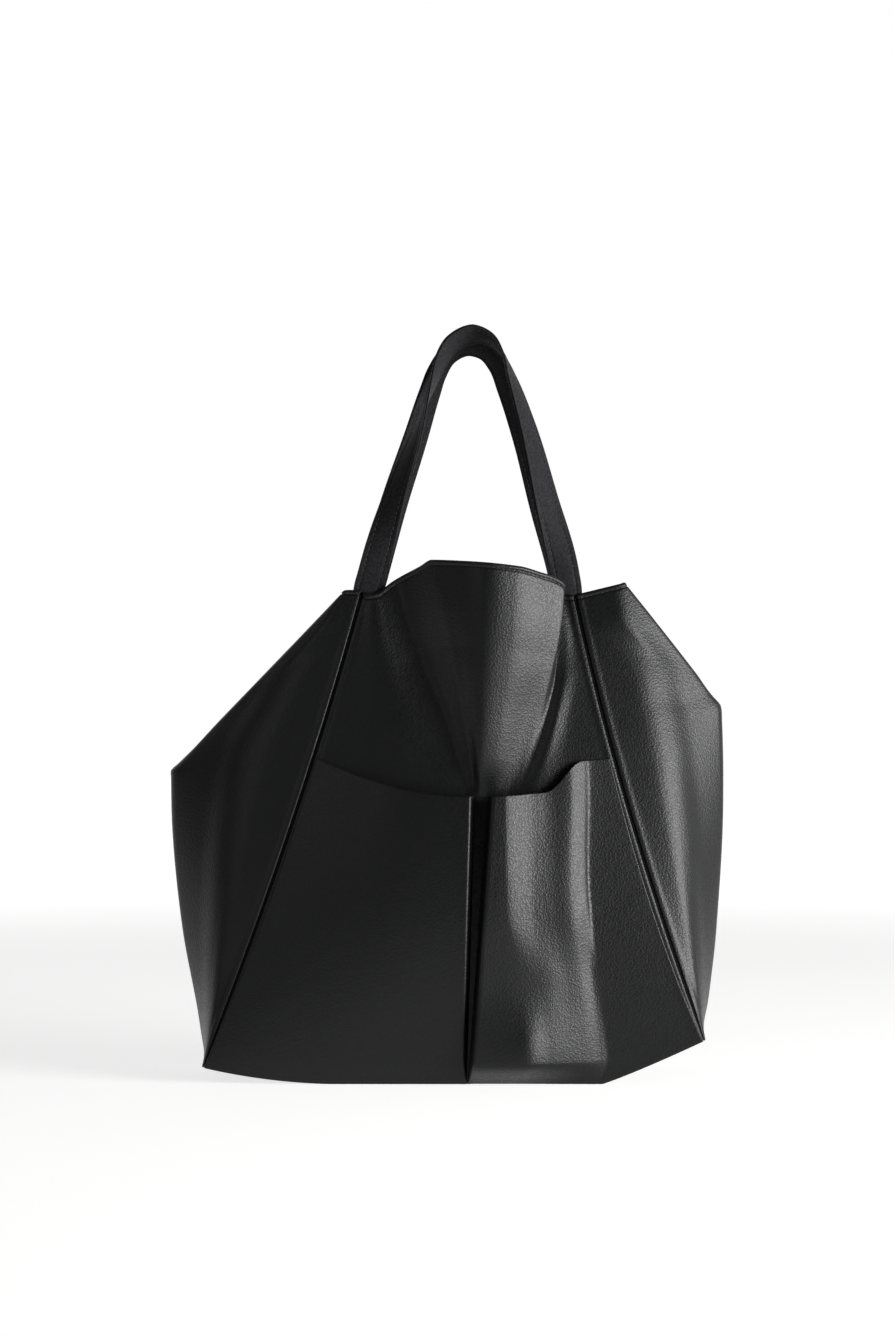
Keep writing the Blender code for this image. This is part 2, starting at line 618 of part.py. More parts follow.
def ribbon(line, end, spin, depth, offset, columns=2):
    """Grid of a strap's face: line in X and Z, its depth in Y, turned by spin about its own run."""
    points = np.stack([line[:, 0], depth, line[:, 1]], -1)
    along = np.gradient(points, axis=0)
    along /= np.linalg.norm(along, axis=1, keepdims=True)
    out = np.stack([-along[:, 2], 0 * along[:, 0], along[:, 0]], -1)
    out /= np.linalg.norm(out, axis=1, keepdims=True)
    facing_way = -end * np.cross(along, out)
    face = np.cos(spin)[:, None] * facing_way + np.sin(spin)[:, None] * out
    across = np.cross(along, face)
    steps = np.linspace(-0.5, 0.5, columns + 1) * STRAP_WIDTH
    grid = (points + face * offset)[:, None, :] + across[:, None, :] * steps[None, :, None]
    level = np.zeros((len(line), 1))
    level[[0, -1]] = 1
    level[[1, -2]] = 0.5
    slide = (line[:, 1:2] - grid[..., 2]) / np.where(level > 0, along[:, 2:3], 1) * level
    return grid + along[:, None, :] * slide[..., None]


def strap_piece(name, grid, thickness, face_out, hinge=None):
    """One ply of a strap, thickened away from the side that face_out points to."""
    rows, columns = grid.shape[:2]
    index = np.arange(rows * columns).reshape(rows, columns)
    quads = np.stack([index[:-1, :-1], index[1:, :-1], index[1:, 1:], index[:-1, 1:]], -1).reshape(-1, 4)
    if np.sum(normals_of(grid)[0, 0] * face_out) < 0:
        quads = quads[:, ::-1]
    made = add_mesh(name, grid.reshape(-1, 3), quads.tolist(), STRAP_LOOK, hinge=hinge)
    thicken(made, thickness, -1.0)


def make_handles():
    for end, name in ((-1, "front_handle"), (1, "rear_handle")):
        hinge = bpy.data.objects.new(f"{name}_hinge", None)
        hinge.location = (HANDLE_CENTRE, hinge_depth(end), hinge_height())
        parts.objects.link(hinge)
        line = handle_line(end, 36)
        travelled = np.concatenate([[0], np.cumsum(np.linalg.norm(np.diff(line, axis=0), axis=1))])
        share = travelled / travelled[-1]
        climb = 1 - np.abs(2 * share - 1)
        spin = np.radians(curve_through(FRONT_SPIN if end < 0 else REAR_SPIN, climb))
        face = hinge_depth(end)
        middle = face - end * strap_thickness() / 2
        apex = end * (STRAP_WIDTH / 2 * math.cos(HANG_TILT) + TOUCH + strap_thickness() / 2)
        depth = blend(middle, apex, ease(climb / 0.9))
        out = np.array([0, end, 0])
        outer = ribbon(line, end, spin, depth, strap_thickness() / 2)
        strap_piece(f"{name}_strap", outer, STRAP_PLY, out, hinge)
        inner = ribbon(line, end, spin, depth, strap_thickness() / 2 - STRAP_PLY - TOUCH)
        strap_piece(f"{name}_lining", inner, STRAP_PLY, out, hinge)
        for side, side_name in ((-1, "left"), (1, "right")):
            make_strap_end(f"{name}_{side_name}_end", end, side)


def make_strap_end(name, end, side):
    """The sewn foot of a strap, lying behind the rim facing and standing up to the flex line."""
    rim = seam_top(side)
    z = np.array([rim - STRAP_END_DROP, rim - STRAP_END_DROP / 2, rim, hinge_height() - HINGE_GAP / 2])
    dip = RIM_RISE * min(rise for _, rise in RIM_SHAPE)
    depth = half_depth(np.minimum(z / (rim + dip), 1)) - strap_depth() + strap_thickness() / 2 - TOUCH
    grid = np.zeros((len(z), 2, 3))
    grid[..., 0] = foot_x(side) + np.array([-0.5, 0.5]) * STRAP_WIDTH
    grid[..., 1] = end * depth[:, None]
    grid[..., 2] = z[:, None]
    strap_piece(name, grid, strap_thickness(), np.array([0, end, 0]))


for old in list(bpy.data.objects):
    bpy.data.objects.remove(old)

parts = bpy.data.collections.new(PART)
bpy.context.scene.collection.children.link(parts)

make_panels()
make_welts()
make_base()
make_pockets()
make_handles()
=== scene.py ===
"""The looks of a slouchy black leather tote bag that hangs by its two handles."""

import math

import bpy
import numpy as np
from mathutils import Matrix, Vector


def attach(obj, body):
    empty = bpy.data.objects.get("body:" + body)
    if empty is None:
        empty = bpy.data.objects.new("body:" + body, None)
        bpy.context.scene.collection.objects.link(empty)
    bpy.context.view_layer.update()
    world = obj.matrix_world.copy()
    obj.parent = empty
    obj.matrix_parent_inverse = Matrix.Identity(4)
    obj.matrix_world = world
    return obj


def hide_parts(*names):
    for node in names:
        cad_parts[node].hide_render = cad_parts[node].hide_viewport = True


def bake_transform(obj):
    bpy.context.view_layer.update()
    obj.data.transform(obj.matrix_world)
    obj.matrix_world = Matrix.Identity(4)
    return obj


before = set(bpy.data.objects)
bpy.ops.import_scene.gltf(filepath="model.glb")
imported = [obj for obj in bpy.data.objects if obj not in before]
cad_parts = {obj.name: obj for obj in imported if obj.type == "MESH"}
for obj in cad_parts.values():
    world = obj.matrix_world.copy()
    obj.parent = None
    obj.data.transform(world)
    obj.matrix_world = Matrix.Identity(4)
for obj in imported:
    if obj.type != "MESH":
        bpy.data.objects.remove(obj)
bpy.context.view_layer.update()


# The base: a leather panel that closes the foot of the walls and curls up a little at both ends.
# A loose board of bonded fibre lies on it, cut with round corners, and keeps its middle flat.
LEATHER = 0.0018
BASE_WIDTH, BASE_SHIFT, BASE_DEPTH = 0.448, 0.006, 0.140
LEFT_CURL, RIGHT_CURL = 0.015, 0.039
FLAT_LEFT, FLAT_RIGHT = 0.090, 0.137
SEAM_GAP = 0.0021


def linear(hex_colour):
    """An sRGB hex colour such as #1c1d1f as linear red, green, blue and alpha."""
    parts = [int(hex_colour[i:i + 2], 16) / 255 for i in (1, 3, 5)]
    return (*[c / 12.92 if c <= 0.04045 else ((c + 0.055) / 1.055) ** 2.4 for c in parts], 1)


def node(tree, kind, links=(), **settings):
    """Adds a node to a material. A setting is an attribute or the name of an input, and a link is
    (the input's name or number, the output that it takes its value from)."""
    made = tree.nodes.new(kind)
    for name, value in settings.items():
        if hasattr(made, name):
            setattr(made, name, value)
        else:
            made.inputs[name.replace("_", " ")].default_value = value
    for socket, source in links:
        tree.links.new(made.inputs[socket], source)
    return made


def new_material(name):
    """An empty material with a Principled shader, as (material, node tree, shader)."""
    made = bpy.data.materials.new(name)
    made.use_nodes = True
    return made, made.node_tree, made.node_tree.nodes["Principled BSDF"]


# The leather's finish. Pores, the pebbles' wander, soft waves and clouds of tone are so many millimetres
# apart. Creases between pebbles are duller, and their colour is darkened as painted shade. Worn places
# vary in gloss.
PORE_MM, WANDER_MM, WAVE_MM, CLOUD_MM = 0.4167, 3.846, 35.71, 111.1
PORE_DEPTH, PEBBLE_WANDER, WAVE_DEPTH = 0.00005, 0.0012, 0.00025
CREASE_PAINTED_SHADE, CREASE_DULLER, WORN_SHINIER, WORN_DULLER = 0.5, 0.14, 0.04, 0.05


def pebbled_leather(name, colour, worn_colour, roughness, pebble_mm, relief_mm, shine=0.28):
    """Chrome-tanned cowhide, embossed with a fine pebble grain and given a thin semi-gloss finish.

    The eye sees small round pebbles with fine creases between them, whose colour is darkened as painted
    shade. Each pebble has its own small glint, so the gloss breaks into grains, and the hide's colour and
    gloss wander a little.
    """
    made, tree, shader = new_material(name)
    place = node(tree, "ShaderNodeTexCoord").outputs["Object"]
    drift = node(tree, "ShaderNodeTexNoise", [("Vector", place)], Scale=1000 / WANDER_MM, Detail=2.0)
    shaken = node(tree, "ShaderNodeMix", [(4, place), (5, drift.outputs["Color"])], data_type="VECTOR")
    shaken.inputs[0].default_value = PEBBLE_WANDER
    grain = node(
        tree, "ShaderNodeTexVoronoi", [("Vector", shaken.outputs[1])],
        feature="SMOOTH_F1", Scale=1000 / pebble_mm, Smoothness=0.45, Randomness=0.9,
    )
    dome = node(
        tree, "ShaderNodeMapRange", [("Value", grain.outputs["Distance"])],
        interpolation_type="SMOOTHSTEP", From_Min=0.05, From_Max=0.75, To_Min=1.0, To_Max=0.0,
    )
    pores = node(tree, "ShaderNodeTexNoise", [("Vector", place)], Scale=1000 / PORE_MM, Detail=2.0)
    slack = node(
        tree, "ShaderNodeTexNoise", [("Vector", place)],
        Scale=1000 / WAVE_MM, Detail=3.0, Roughness=0.45,
    )
    waves = node(
        tree, "ShaderNodeBump", [("Height", slack.outputs["Fac"])],
        Strength=1.0, Distance=WAVE_DEPTH,
    )
    fine = node(
        tree, "ShaderNodeBump",
        [("Height", pores.outputs["Fac"]), ("Normal", waves.outputs["Normal"])],
        Strength=0.25, Distance=PORE_DEPTH,
    )
    pebbles = node(
        tree, "ShaderNodeBump",
        [("Height", dome.outputs["Result"]), ("Normal", fine.outputs["Normal"])],
        Strength=1.0, Distance=relief_mm / 1000,
    )
    tree.links.new(shader.inputs["Normal"], pebbles.outputs["Normal"])
    cloud = node(
        tree, "ShaderNodeTexNoise", [("Vector", place)],
        Scale=1000 / CLOUD_MM, Detail=4.0, Roughness=0.55,
    )
    tone = node(tree, "ShaderNodeMix", [("Factor", cloud.outputs["Fac"])], data_type="RGBA")
    tone.inputs[6].default_value = linear(colour)
    tone.inputs[7].default_value = linear(worn_colour)
    # Painted shade: in the creases between pebbles the colour is darkened to a share of the hide's
    # colour.
    crease = node(tree, "ShaderNodeMix", [("Factor", dome.outputs["Result"])], data_type="RGBA")
    crease.inputs[6].default_value = [CREASE_PAINTED_SHADE * part for part in linear(colour)[:3]] + [1]
    tree.links.new(crease.inputs[7], tone.outputs[2])
    tree.links.new(shader.inputs["Base Color"], crease.outputs[2])
    worn = node(
        tree, "ShaderNodeMapRange", [("Value", cloud.outputs["Fac"])],
        From_Min=0.3, From_Max=0.7, To_Min=roughness - WORN_SHINIER, To_Max=roughness + WORN_DULLER,
    )
    gloss = node(
        tree, "ShaderNodeMapRange",
        [("Value", dome.outputs["Result"]), ("To Max", worn.outputs["Result"])],
        To_Min=roughness + CREASE_DULLER,
    )
    tree.links.new(shader.inputs["Roughness"], gloss.outputs["Result"])
    shader.inputs["Specular IOR Level"].default_value = shine
    return made


def base_corner(side):
    """Where the left or right end of the base stands."""
    return BASE_SHIFT + side * BASE_WIDTH / 2


def base_lift(x):
    """Height of the base's underside: flat in the middle and curling up at both ends."""
    left = np.clip((-FLAT_LEFT - x) / (-FLAT_LEFT - base_corner(-1)), 0, None)
    right = np.clip((x - FLAT_RIGHT) / (base_corner(1) - FLAT_RIGHT), 0, None)
    return LEFT_CURL * left**2 + RIGHT_CURL * right**1.1


def grid(surface, across, up):
    """Points of a surface function of two parameters, at every pair of the given values."""
    a, b = np.meshgrid(across, up, indexing="ij")
    return surface(a, b)


def normals(points):
    """Unit normals of a grid of points: the cross product of its two directions."""
    n = np.cross(np.gradient(points, axis=0), np.gradient(points, axis=1))
    return n / np.maximum(np.linalg.norm(n, axis=-1, keepdims=True), 1e-12)


def quads_of(index):
    """The quads of a grid of vertex numbers."""
    return np.stack([index[:-1, :-1], index[1:, :-1], index[1:, 1:], index[:-1, 1:]], -1).reshape(-1, 4)


def piece(name, points, faces, finish):
    """A smooth mesh object of four-sided faces."""
    mesh = bpy.data.meshes.new(name)
    mesh.vertices.add(len(points))
    mesh.vertices.foreach_set("co", np.ascontiguousarray(points, np.float32).ravel())
    mesh.loops.add(faces.size)
    mesh.loops.foreach_set("vertex_index", faces.ravel().astype(np.int32))
    mesh.polygons.add(len(faces))
    mesh.polygons.foreach_set("loop_start", np.arange(0, faces.size, 4, dtype=np.int32))
    mesh.update(calc_edges=True)
    mesh.validate()
    mesh.shade_smooth()
    mesh.materials.append(finish)
    made = bpy.data.objects.new(name, mesh)
    bpy.context.scene.collection.objects.link(made)
    return made


def cut_sheet(name, face, thickness, out, finish, rounding=0.45):
    """A sheet of leather. Its face is a grid, its back is the face moved in along the normals, and a
    half-round cut edge of three strips joins them. out is +1 if the grid's own normals face out."""
    rows, columns = face.shape[:2]
    normal = normals(face) * out
    ring = np.concatenate([
        np.arange(columns - 1), np.arange(rows - 1) * columns + columns - 1,
        (rows - 1) * columns + np.arange(columns - 1, 0, -1), np.arange(rows - 1, 0, -1) * columns,
    ])
    flat_face, flat_normal = face.reshape(-1, 3), normal.reshape(-1, 3)
    along = np.roll(flat_face[ring], -1, axis=0) - np.roll(flat_face[ring], 1, axis=0)
    along /= np.linalg.norm(along, axis=1, keepdims=True)
    beyond = np.cross(flat_normal[ring], along) * out
    depths = ((1 / 6, 0.75), (1 / 2, 1.0), (5 / 6, 0.75))
    edges = [
        flat_face[ring] - flat_normal[ring] * thickness * depth + beyond * thickness * rounding * reach
        for depth, reach in depths
    ]
    points = np.concatenate([flat_face, flat_face - flat_normal * thickness, *edges])
    count = rows * columns
    index = np.arange(count).reshape(rows, columns)
    loops = [ring] + [2 * count + i * len(ring) + np.arange(len(ring)) for i in range(3)] + [ring + count]
    strips = [
        np.stack([a, b, np.roll(b, -1), np.roll(a, -1)], -1) for a, b in zip(loops[:-1], loops[1:])
    ]
    front, back = quads_of(index), quads_of(index)[:, ::-1] + count
    faces = np.concatenate([front, back, *[s[:, ::-1] for s in strips]])
    return piece(name, points, faces if out > 0 else faces[:, ::-1], finish)


# Such leather's pebbles are about 1 mm wide. They are drawn 2 mm wide, so that they show.
panel_leather = pebbled_leather("pebbled_cowhide_semi_gloss", "#090a0b", "#0e0f10", 0.31, 2.0, 0.115)


def base_underside(x, y):
    """The underside of the base as points: x and y as given, and z from its curl."""
    return np.stack([x, y, base_lift(x)], -1)


base = cut_sheet(
    "base_leather",
    grid(
        base_underside,
        np.linspace(base_corner(-1) + SEAM_GAP, base_corner(1) - SEAM_GAP, 120),
        np.linspace(-BASE_DEPTH / 2 + SEAM_GAP, BASE_DEPTH / 2 - SEAM_GAP, 30),
    ),
    LEATHER, -1, panel_leather, rounding=0.1,
)
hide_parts("base_panel")
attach(base, "bag")

# Bonded leather fibre board is dull brown-black, with short pressed fibres and a slightly uneven face.
FIBRE_LENGTH_MM, FIBRE_WIDTH_MM, FIBRE_RELIEF = 3.846, 1.111, 0.0002

board_fibre, tree, shader = new_material("bonded_fibre_board")
place = node(tree, "ShaderNodeTexCoord").outputs["Object"]
stretched = node(tree, "ShaderNodeMapping", [("Vector", place)])
stretched.inputs["Scale"].default_value = (
    1000 / FIBRE_LENGTH_MM, 1000 / FIBRE_WIDTH_MM, 1000 / FIBRE_WIDTH_MM,
)
fibres = node(
    tree, "ShaderNodeTexNoise", [("Vector", stretched.outputs["Vector"])], Scale=1.0, Detail=3.0,
)
tone = node(tree, "ShaderNodeMix", [("Factor", fibres.outputs["Fac"])], data_type="RGBA")
tone.inputs[6].default_value = linear("#2e2b28")
tone.inputs[7].default_value = linear("#453f3a")
bump = node(
    tree, "ShaderNodeBump", [("Height", fibres.outputs["Fac"])], Strength=0.6, Distance=FIBRE_RELIEF,
)
tree.links.new(shader.inputs["Base Color"], tone.outputs[2])
tree.links.new(shader.inputs["Normal"], bump.outputs["Normal"])
shader.inputs["Roughness"].default_value = 0.85
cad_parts["base_board"].data.materials.clear()
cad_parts["base_board"].data.materials.append(board_fibre)


# The two side panels: one piece of the same leather each, sewn into the front and back seams. Empty,
# each stands out as a wing with one fold down its middle. Above the kink the fold parts in two and the
# leather between them tucks into the mouth. Near the rim a shoulder covers the handle's foot.
MOUTH_WIDTH, MOUTH_SHIFT, MOUTH_DEPTH, MOUTH_HEIGHT = 0.191, 0.0195, 0.076, 0.4405
RIGHT_SEAM_DROP = 0.0045
SEAM_BOW = {-1: 0.007, 1: 0.008}
SEAM_DEPTH_BOW = 0.006
FLARE = {-1: 0.1277, 1: 0.1096}
KINK = {-1: 0.616, 1: 0.725}
FLARE_SHAPE = {
    -1: (
        (0, 0), (0.07, 0.13), (0.282, 0.538), (0.49, 0.853), (0.602, 0.985), (0.616, 1), (0.630, 0.967),
        (0.787, 0.615), (1, 0.128),
    ),
    1: (
        (0, 0), (0.103, 0.208), (0.235, 0.436), (0.5, 0.795), (0.695, 0.980), (0.725, 1), (0.750, 0.952),
        (0.906, 0.622), (1, 0.41),
    ),
}
# Away from the fold the wing's reach follows a softer curve, with no crease at the kink.
SOFT_SHAPE = {
    -1: ((0, 0), (0.07, 0.13), (0.282, 0.538), (0.49, 0.845), (0.626, 0.950), (0.787, 0.615), (1, 0.128)),
    1: ((0, 0), (0.103, 0.208), (0.235, 0.436), (0.5, 0.790), (0.715, 0.945), (0.906, 0.622), (1, 0.41)),
}
FOLD_RISE = {-1: 0.0, 1: 0.0117}
TUCK_DEPTH, TUCK_SPREAD, TUCK_SAG, PARTING = 0.050, 0.60, 0.030, 0.15
FOLD_ROUNDING, LEAST_ROUNDING, FOLD_SOFTNESS = 0.012, 0.004, 0.15
NARROWEST_FOLD, FOLD_COLUMN = 0.12, 4 / 11
# The share of the fall from fold to seam, against the share of the way: the leather stays out at first
# and falls fastest beside the seam.
WING_BULGE = ((0, 0), (0.37, 0.25), (0.74, 0.50), (0.89, 0.65), (1, 1))
CREASE_REACH = 0.35
SWELL, SWELL_WIDTH = 0.002, 0.50
SHOULDER, SHOULDER_ROUNDING, SHOULDER_FROM, SHOULDER_TO = 0.71, 0.06, 0.80, 0.94


def through(knots, values, at):
    """Smooth curve through values at knots: cubic pieces with harmonic-mean slopes, which never
    overshoot and lie flat at each highest or lowest value. Each value may be an array shaped as at."""
    steps = np.diff(values, axis=0) / np.diff(knots).reshape(-1, *[1] * (values.ndim - 1))
    product = steps[:-1] * steps[1:]
    inner = np.where(product > 0, 2 * product / np.where(product > 0, steps[:-1] + steps[1:], 1), 0)
    slopes = np.concatenate([steps[:1], inner, steps[-1:]])
    at = np.clip(at, knots[0], knots[-1])
    i = np.clip(np.searchsorted(knots, at) - 1, 0, len(knots) - 2)
    width = knots[i + 1] - knots[i]
    t = (at - knots[i]) / width

    def here(table, k):
        return np.take_along_axis(table, (i + k)[None], 0)[0]

    rise = here(values, 0) * (1 + 2 * t) * (1 - t) ** 2 + here(values, 1) * t * t * (3 - 2 * t)
    return rise + width * (here(slopes, 0) * t * (1 - t) ** 2 - here(slopes, 1) * t * t * (1 - t))


def curve_through(points, at):
    """The same smooth curve through fixed (position, value) points."""
    knots, values = (np.array(c, float) for c in zip(*points))
    at = np.asarray(at, float)
    return through(knots, values.reshape(-1, *[1] * at.ndim) + 0 * at, at)


def mix(a, b, t):
    """a where t is 0, b where t is 1, and straight between them."""
    return a + (b - a) * t


def ease(t):
    """0 below 0, 1 above 1, with a smooth rise between."""
    t = np.clip(t, 0, 1)
    return t * t * (3 - 2 * t)


def soft_least(a, b, rounding):
    """The smaller of a and b, rounded off where they cross."""
    h = np.clip(0.5 + 0.5 * (b - a) / rounding, 0, 1)
    return mix(b, a, h) - rounding * h * (1 - h)


def seam_x(side, v):
    """Where the front and back seams of one side stand, from the base at v 0 to the rim at v 1: a
    straight line, bowed out as a parabola."""
    top = MOUTH_SHIFT + side * MOUTH_WIDTH / 2
    return mix(base_corner(side), top, v) - side * SEAM_BOW[side] * 4 * v * (1 - v)


def seam_top(side):
    """Height of the rim at the front and back seams of one side."""
    return MOUTH_HEIGHT - (RIGHT_SEAM_DROP if side > 0 else 0)


def half_depth(v):
    """Half the bag's depth at its four seams: a straight line, bowed out as a parabola."""
    return mix(BASE_DEPTH / 2, MOUTH_DEPTH / 2, v) + SEAM_DEPTH_BOW * 4 * v * (1 - v)


def side_surface(side, s, v):
    """Outer face of a side panel, s from its front seam round the fold to its back seam, v up.

    The reach beyond the seam is the smaller of two slopes: one falls from the fold to the seams, and
    above the kink the other falls from two folds to the tuck between them. The folds part slowly at
    first. The slope's way from the fold goes through WING_BULGE, and the kink's crease fades over
    CREASE_REACH from the fold. A swell lies beside the seams, and a shoulder stands below the rim.
    """
    tucked = np.clip((v - KINK[side]) / (1 - KINK[side]), 0, 1)
    tucked = tucked**2 * (1 + PARTING) / (tucked + PARTING)
    spread = TUCK_SPREAD * tucked
    run = math.hypot(1, FOLD_SOFTNESS) - FOLD_SOFTNESS
    shoulder = ease((v - SHOULDER_FROM) / (SHOULDER_TO - SHOULDER_FROM))
    folded = np.maximum(spread, NARROWEST_FOLD)
    folded = mix(curve_through([pair[::-1] for pair in WING_BULGE], folded), folded, shoulder)
    fold = np.sqrt((folded * run + FOLD_SOFTNESS) ** 2 - FOLD_SOFTNESS**2)
    t = 2 * s - 1
    inside = np.abs(t) / FOLD_COLUMN * fold
    outside = fold + (np.abs(t) - FOLD_COLUMN) / (1 - FOLD_COLUMN) * (1 - fold)
    t = np.sign(t) * np.where(np.abs(t) < FOLD_COLUMN, inside, outside)
    away = (np.sqrt(t * t + FOLD_SOFTNESS**2) - FOLD_SOFTNESS) / run
    away = mix(curve_through(WING_BULGE, away), away, shoulder)
    creased = np.clip(1 - np.abs(away - spread) / CREASE_REACH, 0, 1) ** 2
    soft, sharp = curve_through(SOFT_SHAPE[side], v), curve_through(FLARE_SHAPE[side], v)
    flare = FLARE[side] * mix(soft, sharp, creased)
    rounding = np.minimum(FOLD_ROUNDING, 0.5 * flare + LEAST_ROUNDING)
    wing = (flare + rounding / 4) * (1 - away) / (1 - spread)
    inner = flare + rounding / 4 - TUCK_DEPTH * (tucked - away / TUCK_SPREAD)
    out = mix(wing, soft_least(wing, inner, rounding), ease((1 - np.abs(t)) / 0.02))
    swell = SWELL * np.sin(math.pi * np.clip((1 - np.abs(t)) / SWELL_WIDTH, 0, 1)) ** 2
    across = mix(np.abs(t), soft_least(np.abs(t) / SHOULDER, 1 + 0 * t, SHOULDER_ROUNDING), shoulder)
    y = np.sign(t) * (half_depth(v) * across + swell * np.sin(math.pi * v))
    to_fold = np.clip((1 - away) / (1 - TUCK_SPREAD), 0, 1)
    sag = TUCK_SAG * tucked * ease(1 - away / np.maximum(spread, NARROWEST_FOLD))
    rim = seam_top(side) + FOLD_RISE[side] * to_fold - sag
    z = mix(base_lift(base_corner(side)) + 0 * s, rim, v)
    return np.stack([seam_x(side, v) + side * out, y, z], -1)


def between_seams(surface, gap=SEAM_GAP):
    """The same surface with its first and last columns drawn in from the seams by gap."""
    def drawn_in(s, v):
        first = np.linalg.norm(surface(0 * s + 0.001, v) - surface(0 * s, v), axis=-1) / 0.001
        last = np.linalg.norm(surface(0 * s + 1, v) - surface(0 * s + 0.999, v), axis=-1) / 0.001
        return surface(mix(gap / first, 1 - gap / last, s), v)
    return drawn_in


def closer_at_ends(count, closeness=0.85):
    """Values from 0 to 1 that lie closer together near both ends: t less a share of one sine wave."""
    t = np.linspace(0, 1, count)
    return t - closeness * np.sin(2 * math.pi * t) / (2 * math.pi)


def rows_to_rim(count, hem_count=16, hem=0.022):
    """Values from 0 to 1 with closer rows in the hem, the last 10 mm or so below the rim."""
    return np.concatenate([np.linspace(0, 1 - hem, count), np.linspace(1 - hem, 1, hem_count)[1:]])


def run_of(points, axis):
    """Distance along a grid's columns or rows from their first point, as an array of the grid's shape."""
    steps = np.linalg.norm(np.diff(points, axis=axis), axis=-1)
    start = np.zeros_like(np.take(steps, [0], axis=axis))
    return np.concatenate([start, np.cumsum(steps, axis=axis)], axis=axis)


def with_turned_edges(face, out, rise=0.0005, width=0.0024):
    """A face with its two upright edges turned under: each swells by rise, in a bell curve that peaks
    at width from the edge."""
    run = run_of(face, 0)
    near = np.exp(-((np.minimum(run, run[-1] - run) - width) / width) ** 2)
    return face + normals(face) * out * rise * near[..., None]


HEM, HEM_GROOVE_WIDTH = 0.0040, 0.0009


def with_hem(face, out, swell=0.0005, groove=0.0007):
    """A face whose rim is turned in and sewn: a half wave of swell above the stitches, and a groove
    under them, shaped as a bell curve."""
    run = run_of(face, 1)
    down = run[:, -1:] - run
    swollen = swell * np.sin(math.pi * np.clip(down / HEM, 0, 1))
    grooved = groove * np.exp(-(((down - HEM) / HEM_GROOVE_WIDTH) ** 2))
    return face + normals(face) * out * (swollen - grooved)[..., None]


sides = {}
for side, name in ((-1, "left_side_leather"), (1, "right_side_leather")):
    surface = between_seams(lambda s, v, side=side: side_surface(side, s, v))
    face = grid(surface, closer_at_ends(180), rows_to_rim(150))
    out = side
    face = with_hem(with_turned_edges(face, out), out)
    sides[side] = face
    panel = cut_sheet(name, face, LEATHER, out, panel_leather)
    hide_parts(name.replace("leather", "panel"))
    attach(panel, "bag")


# The back panel: a plain sheet that sags between the back seams. Its rim stays level where the rear
# handle is sewn behind it and bows out between the two feet.
BACK_FLAT_FOR_STRAP, BACK_PILLOW, BACK_MOUTH_BOW, BACK_RIM_RISE = 0.13, 0.012, 0.022, 0.016
PILLOW_TOP = 0.85


def wall(w, v, pillow):
    """A plain wall between two seams, w across and v up, as x, distance from the bag's middle plane,
    and z: half the depth, with a pillow that is a half wave each way."""
    x = mix(seam_x(-1, v), seam_x(1, v), w)
    sag = pillow * np.sin(math.pi * np.clip(w, 0, 1)) * np.sin(math.pi * np.clip(v / PILLOW_TOP, 0, 1))
    low = base_lift(mix(base_corner(-1), base_corner(1), w))
    return x, half_depth(v) + sag, mix(low, mix(seam_top(-1), seam_top(1), w), v)


def back_surface(u, v):
    """Outer face of the back panel: a plain wall with a bow and a rise between the handle's feet."""
    middle = ease((0.5 - np.abs(u - 0.5) - BACK_FLAT_FOR_STRAP) / (0.5 - BACK_FLAT_FOR_STRAP))
    x, depth, z = wall(u, v, BACK_PILLOW)
    bow = BACK_MOUTH_BOW * middle * ease((v - 0.5) / 0.5)
    return np.stack([x, depth + bow, z + BACK_RIM_RISE * middle * v], -1)


back_face = grid(between_seams(back_surface), closer_at_ends(120), rows_to_rim(110))
back_face = with_hem(with_turned_edges(back_face, -1), -1)
back = cut_sheet("back_leather", back_face, LEATHER, -1, panel_leather)
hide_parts("back_panel")
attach(back, "bag")


# The front panel: one sheet whose mouth is pushed forward into a funnel. It is lofted through lines
# that run up it: the left seam, a soft ridge, a valley, the crest, the flank, the lip that the leather
# rolls over, the fold hidden behind it, a second ridge and the right seam.
FUNNEL_DEPTH, FUNNEL_FOOT = 0.046, 0.57
FRONT_PILLOW = 0.009
RIM_RISE = 0.0279
RIM_SHAPE = (
    (0, 0), (0.020, -0.13), (0.084, -0.05), (0.108, 0.08), (0.148, 0.29), (0.192, 0.47),
    (0.281, 0.78), (0.341, 1), (0.5, 0.97), (0.776, 0.84), (0.876, 0.68), (0.934, 0.58),
    (0.978, 0.45), (1, 0.32),
)
LIP_KNOT, LIP_FALL = 0.74, 0.08
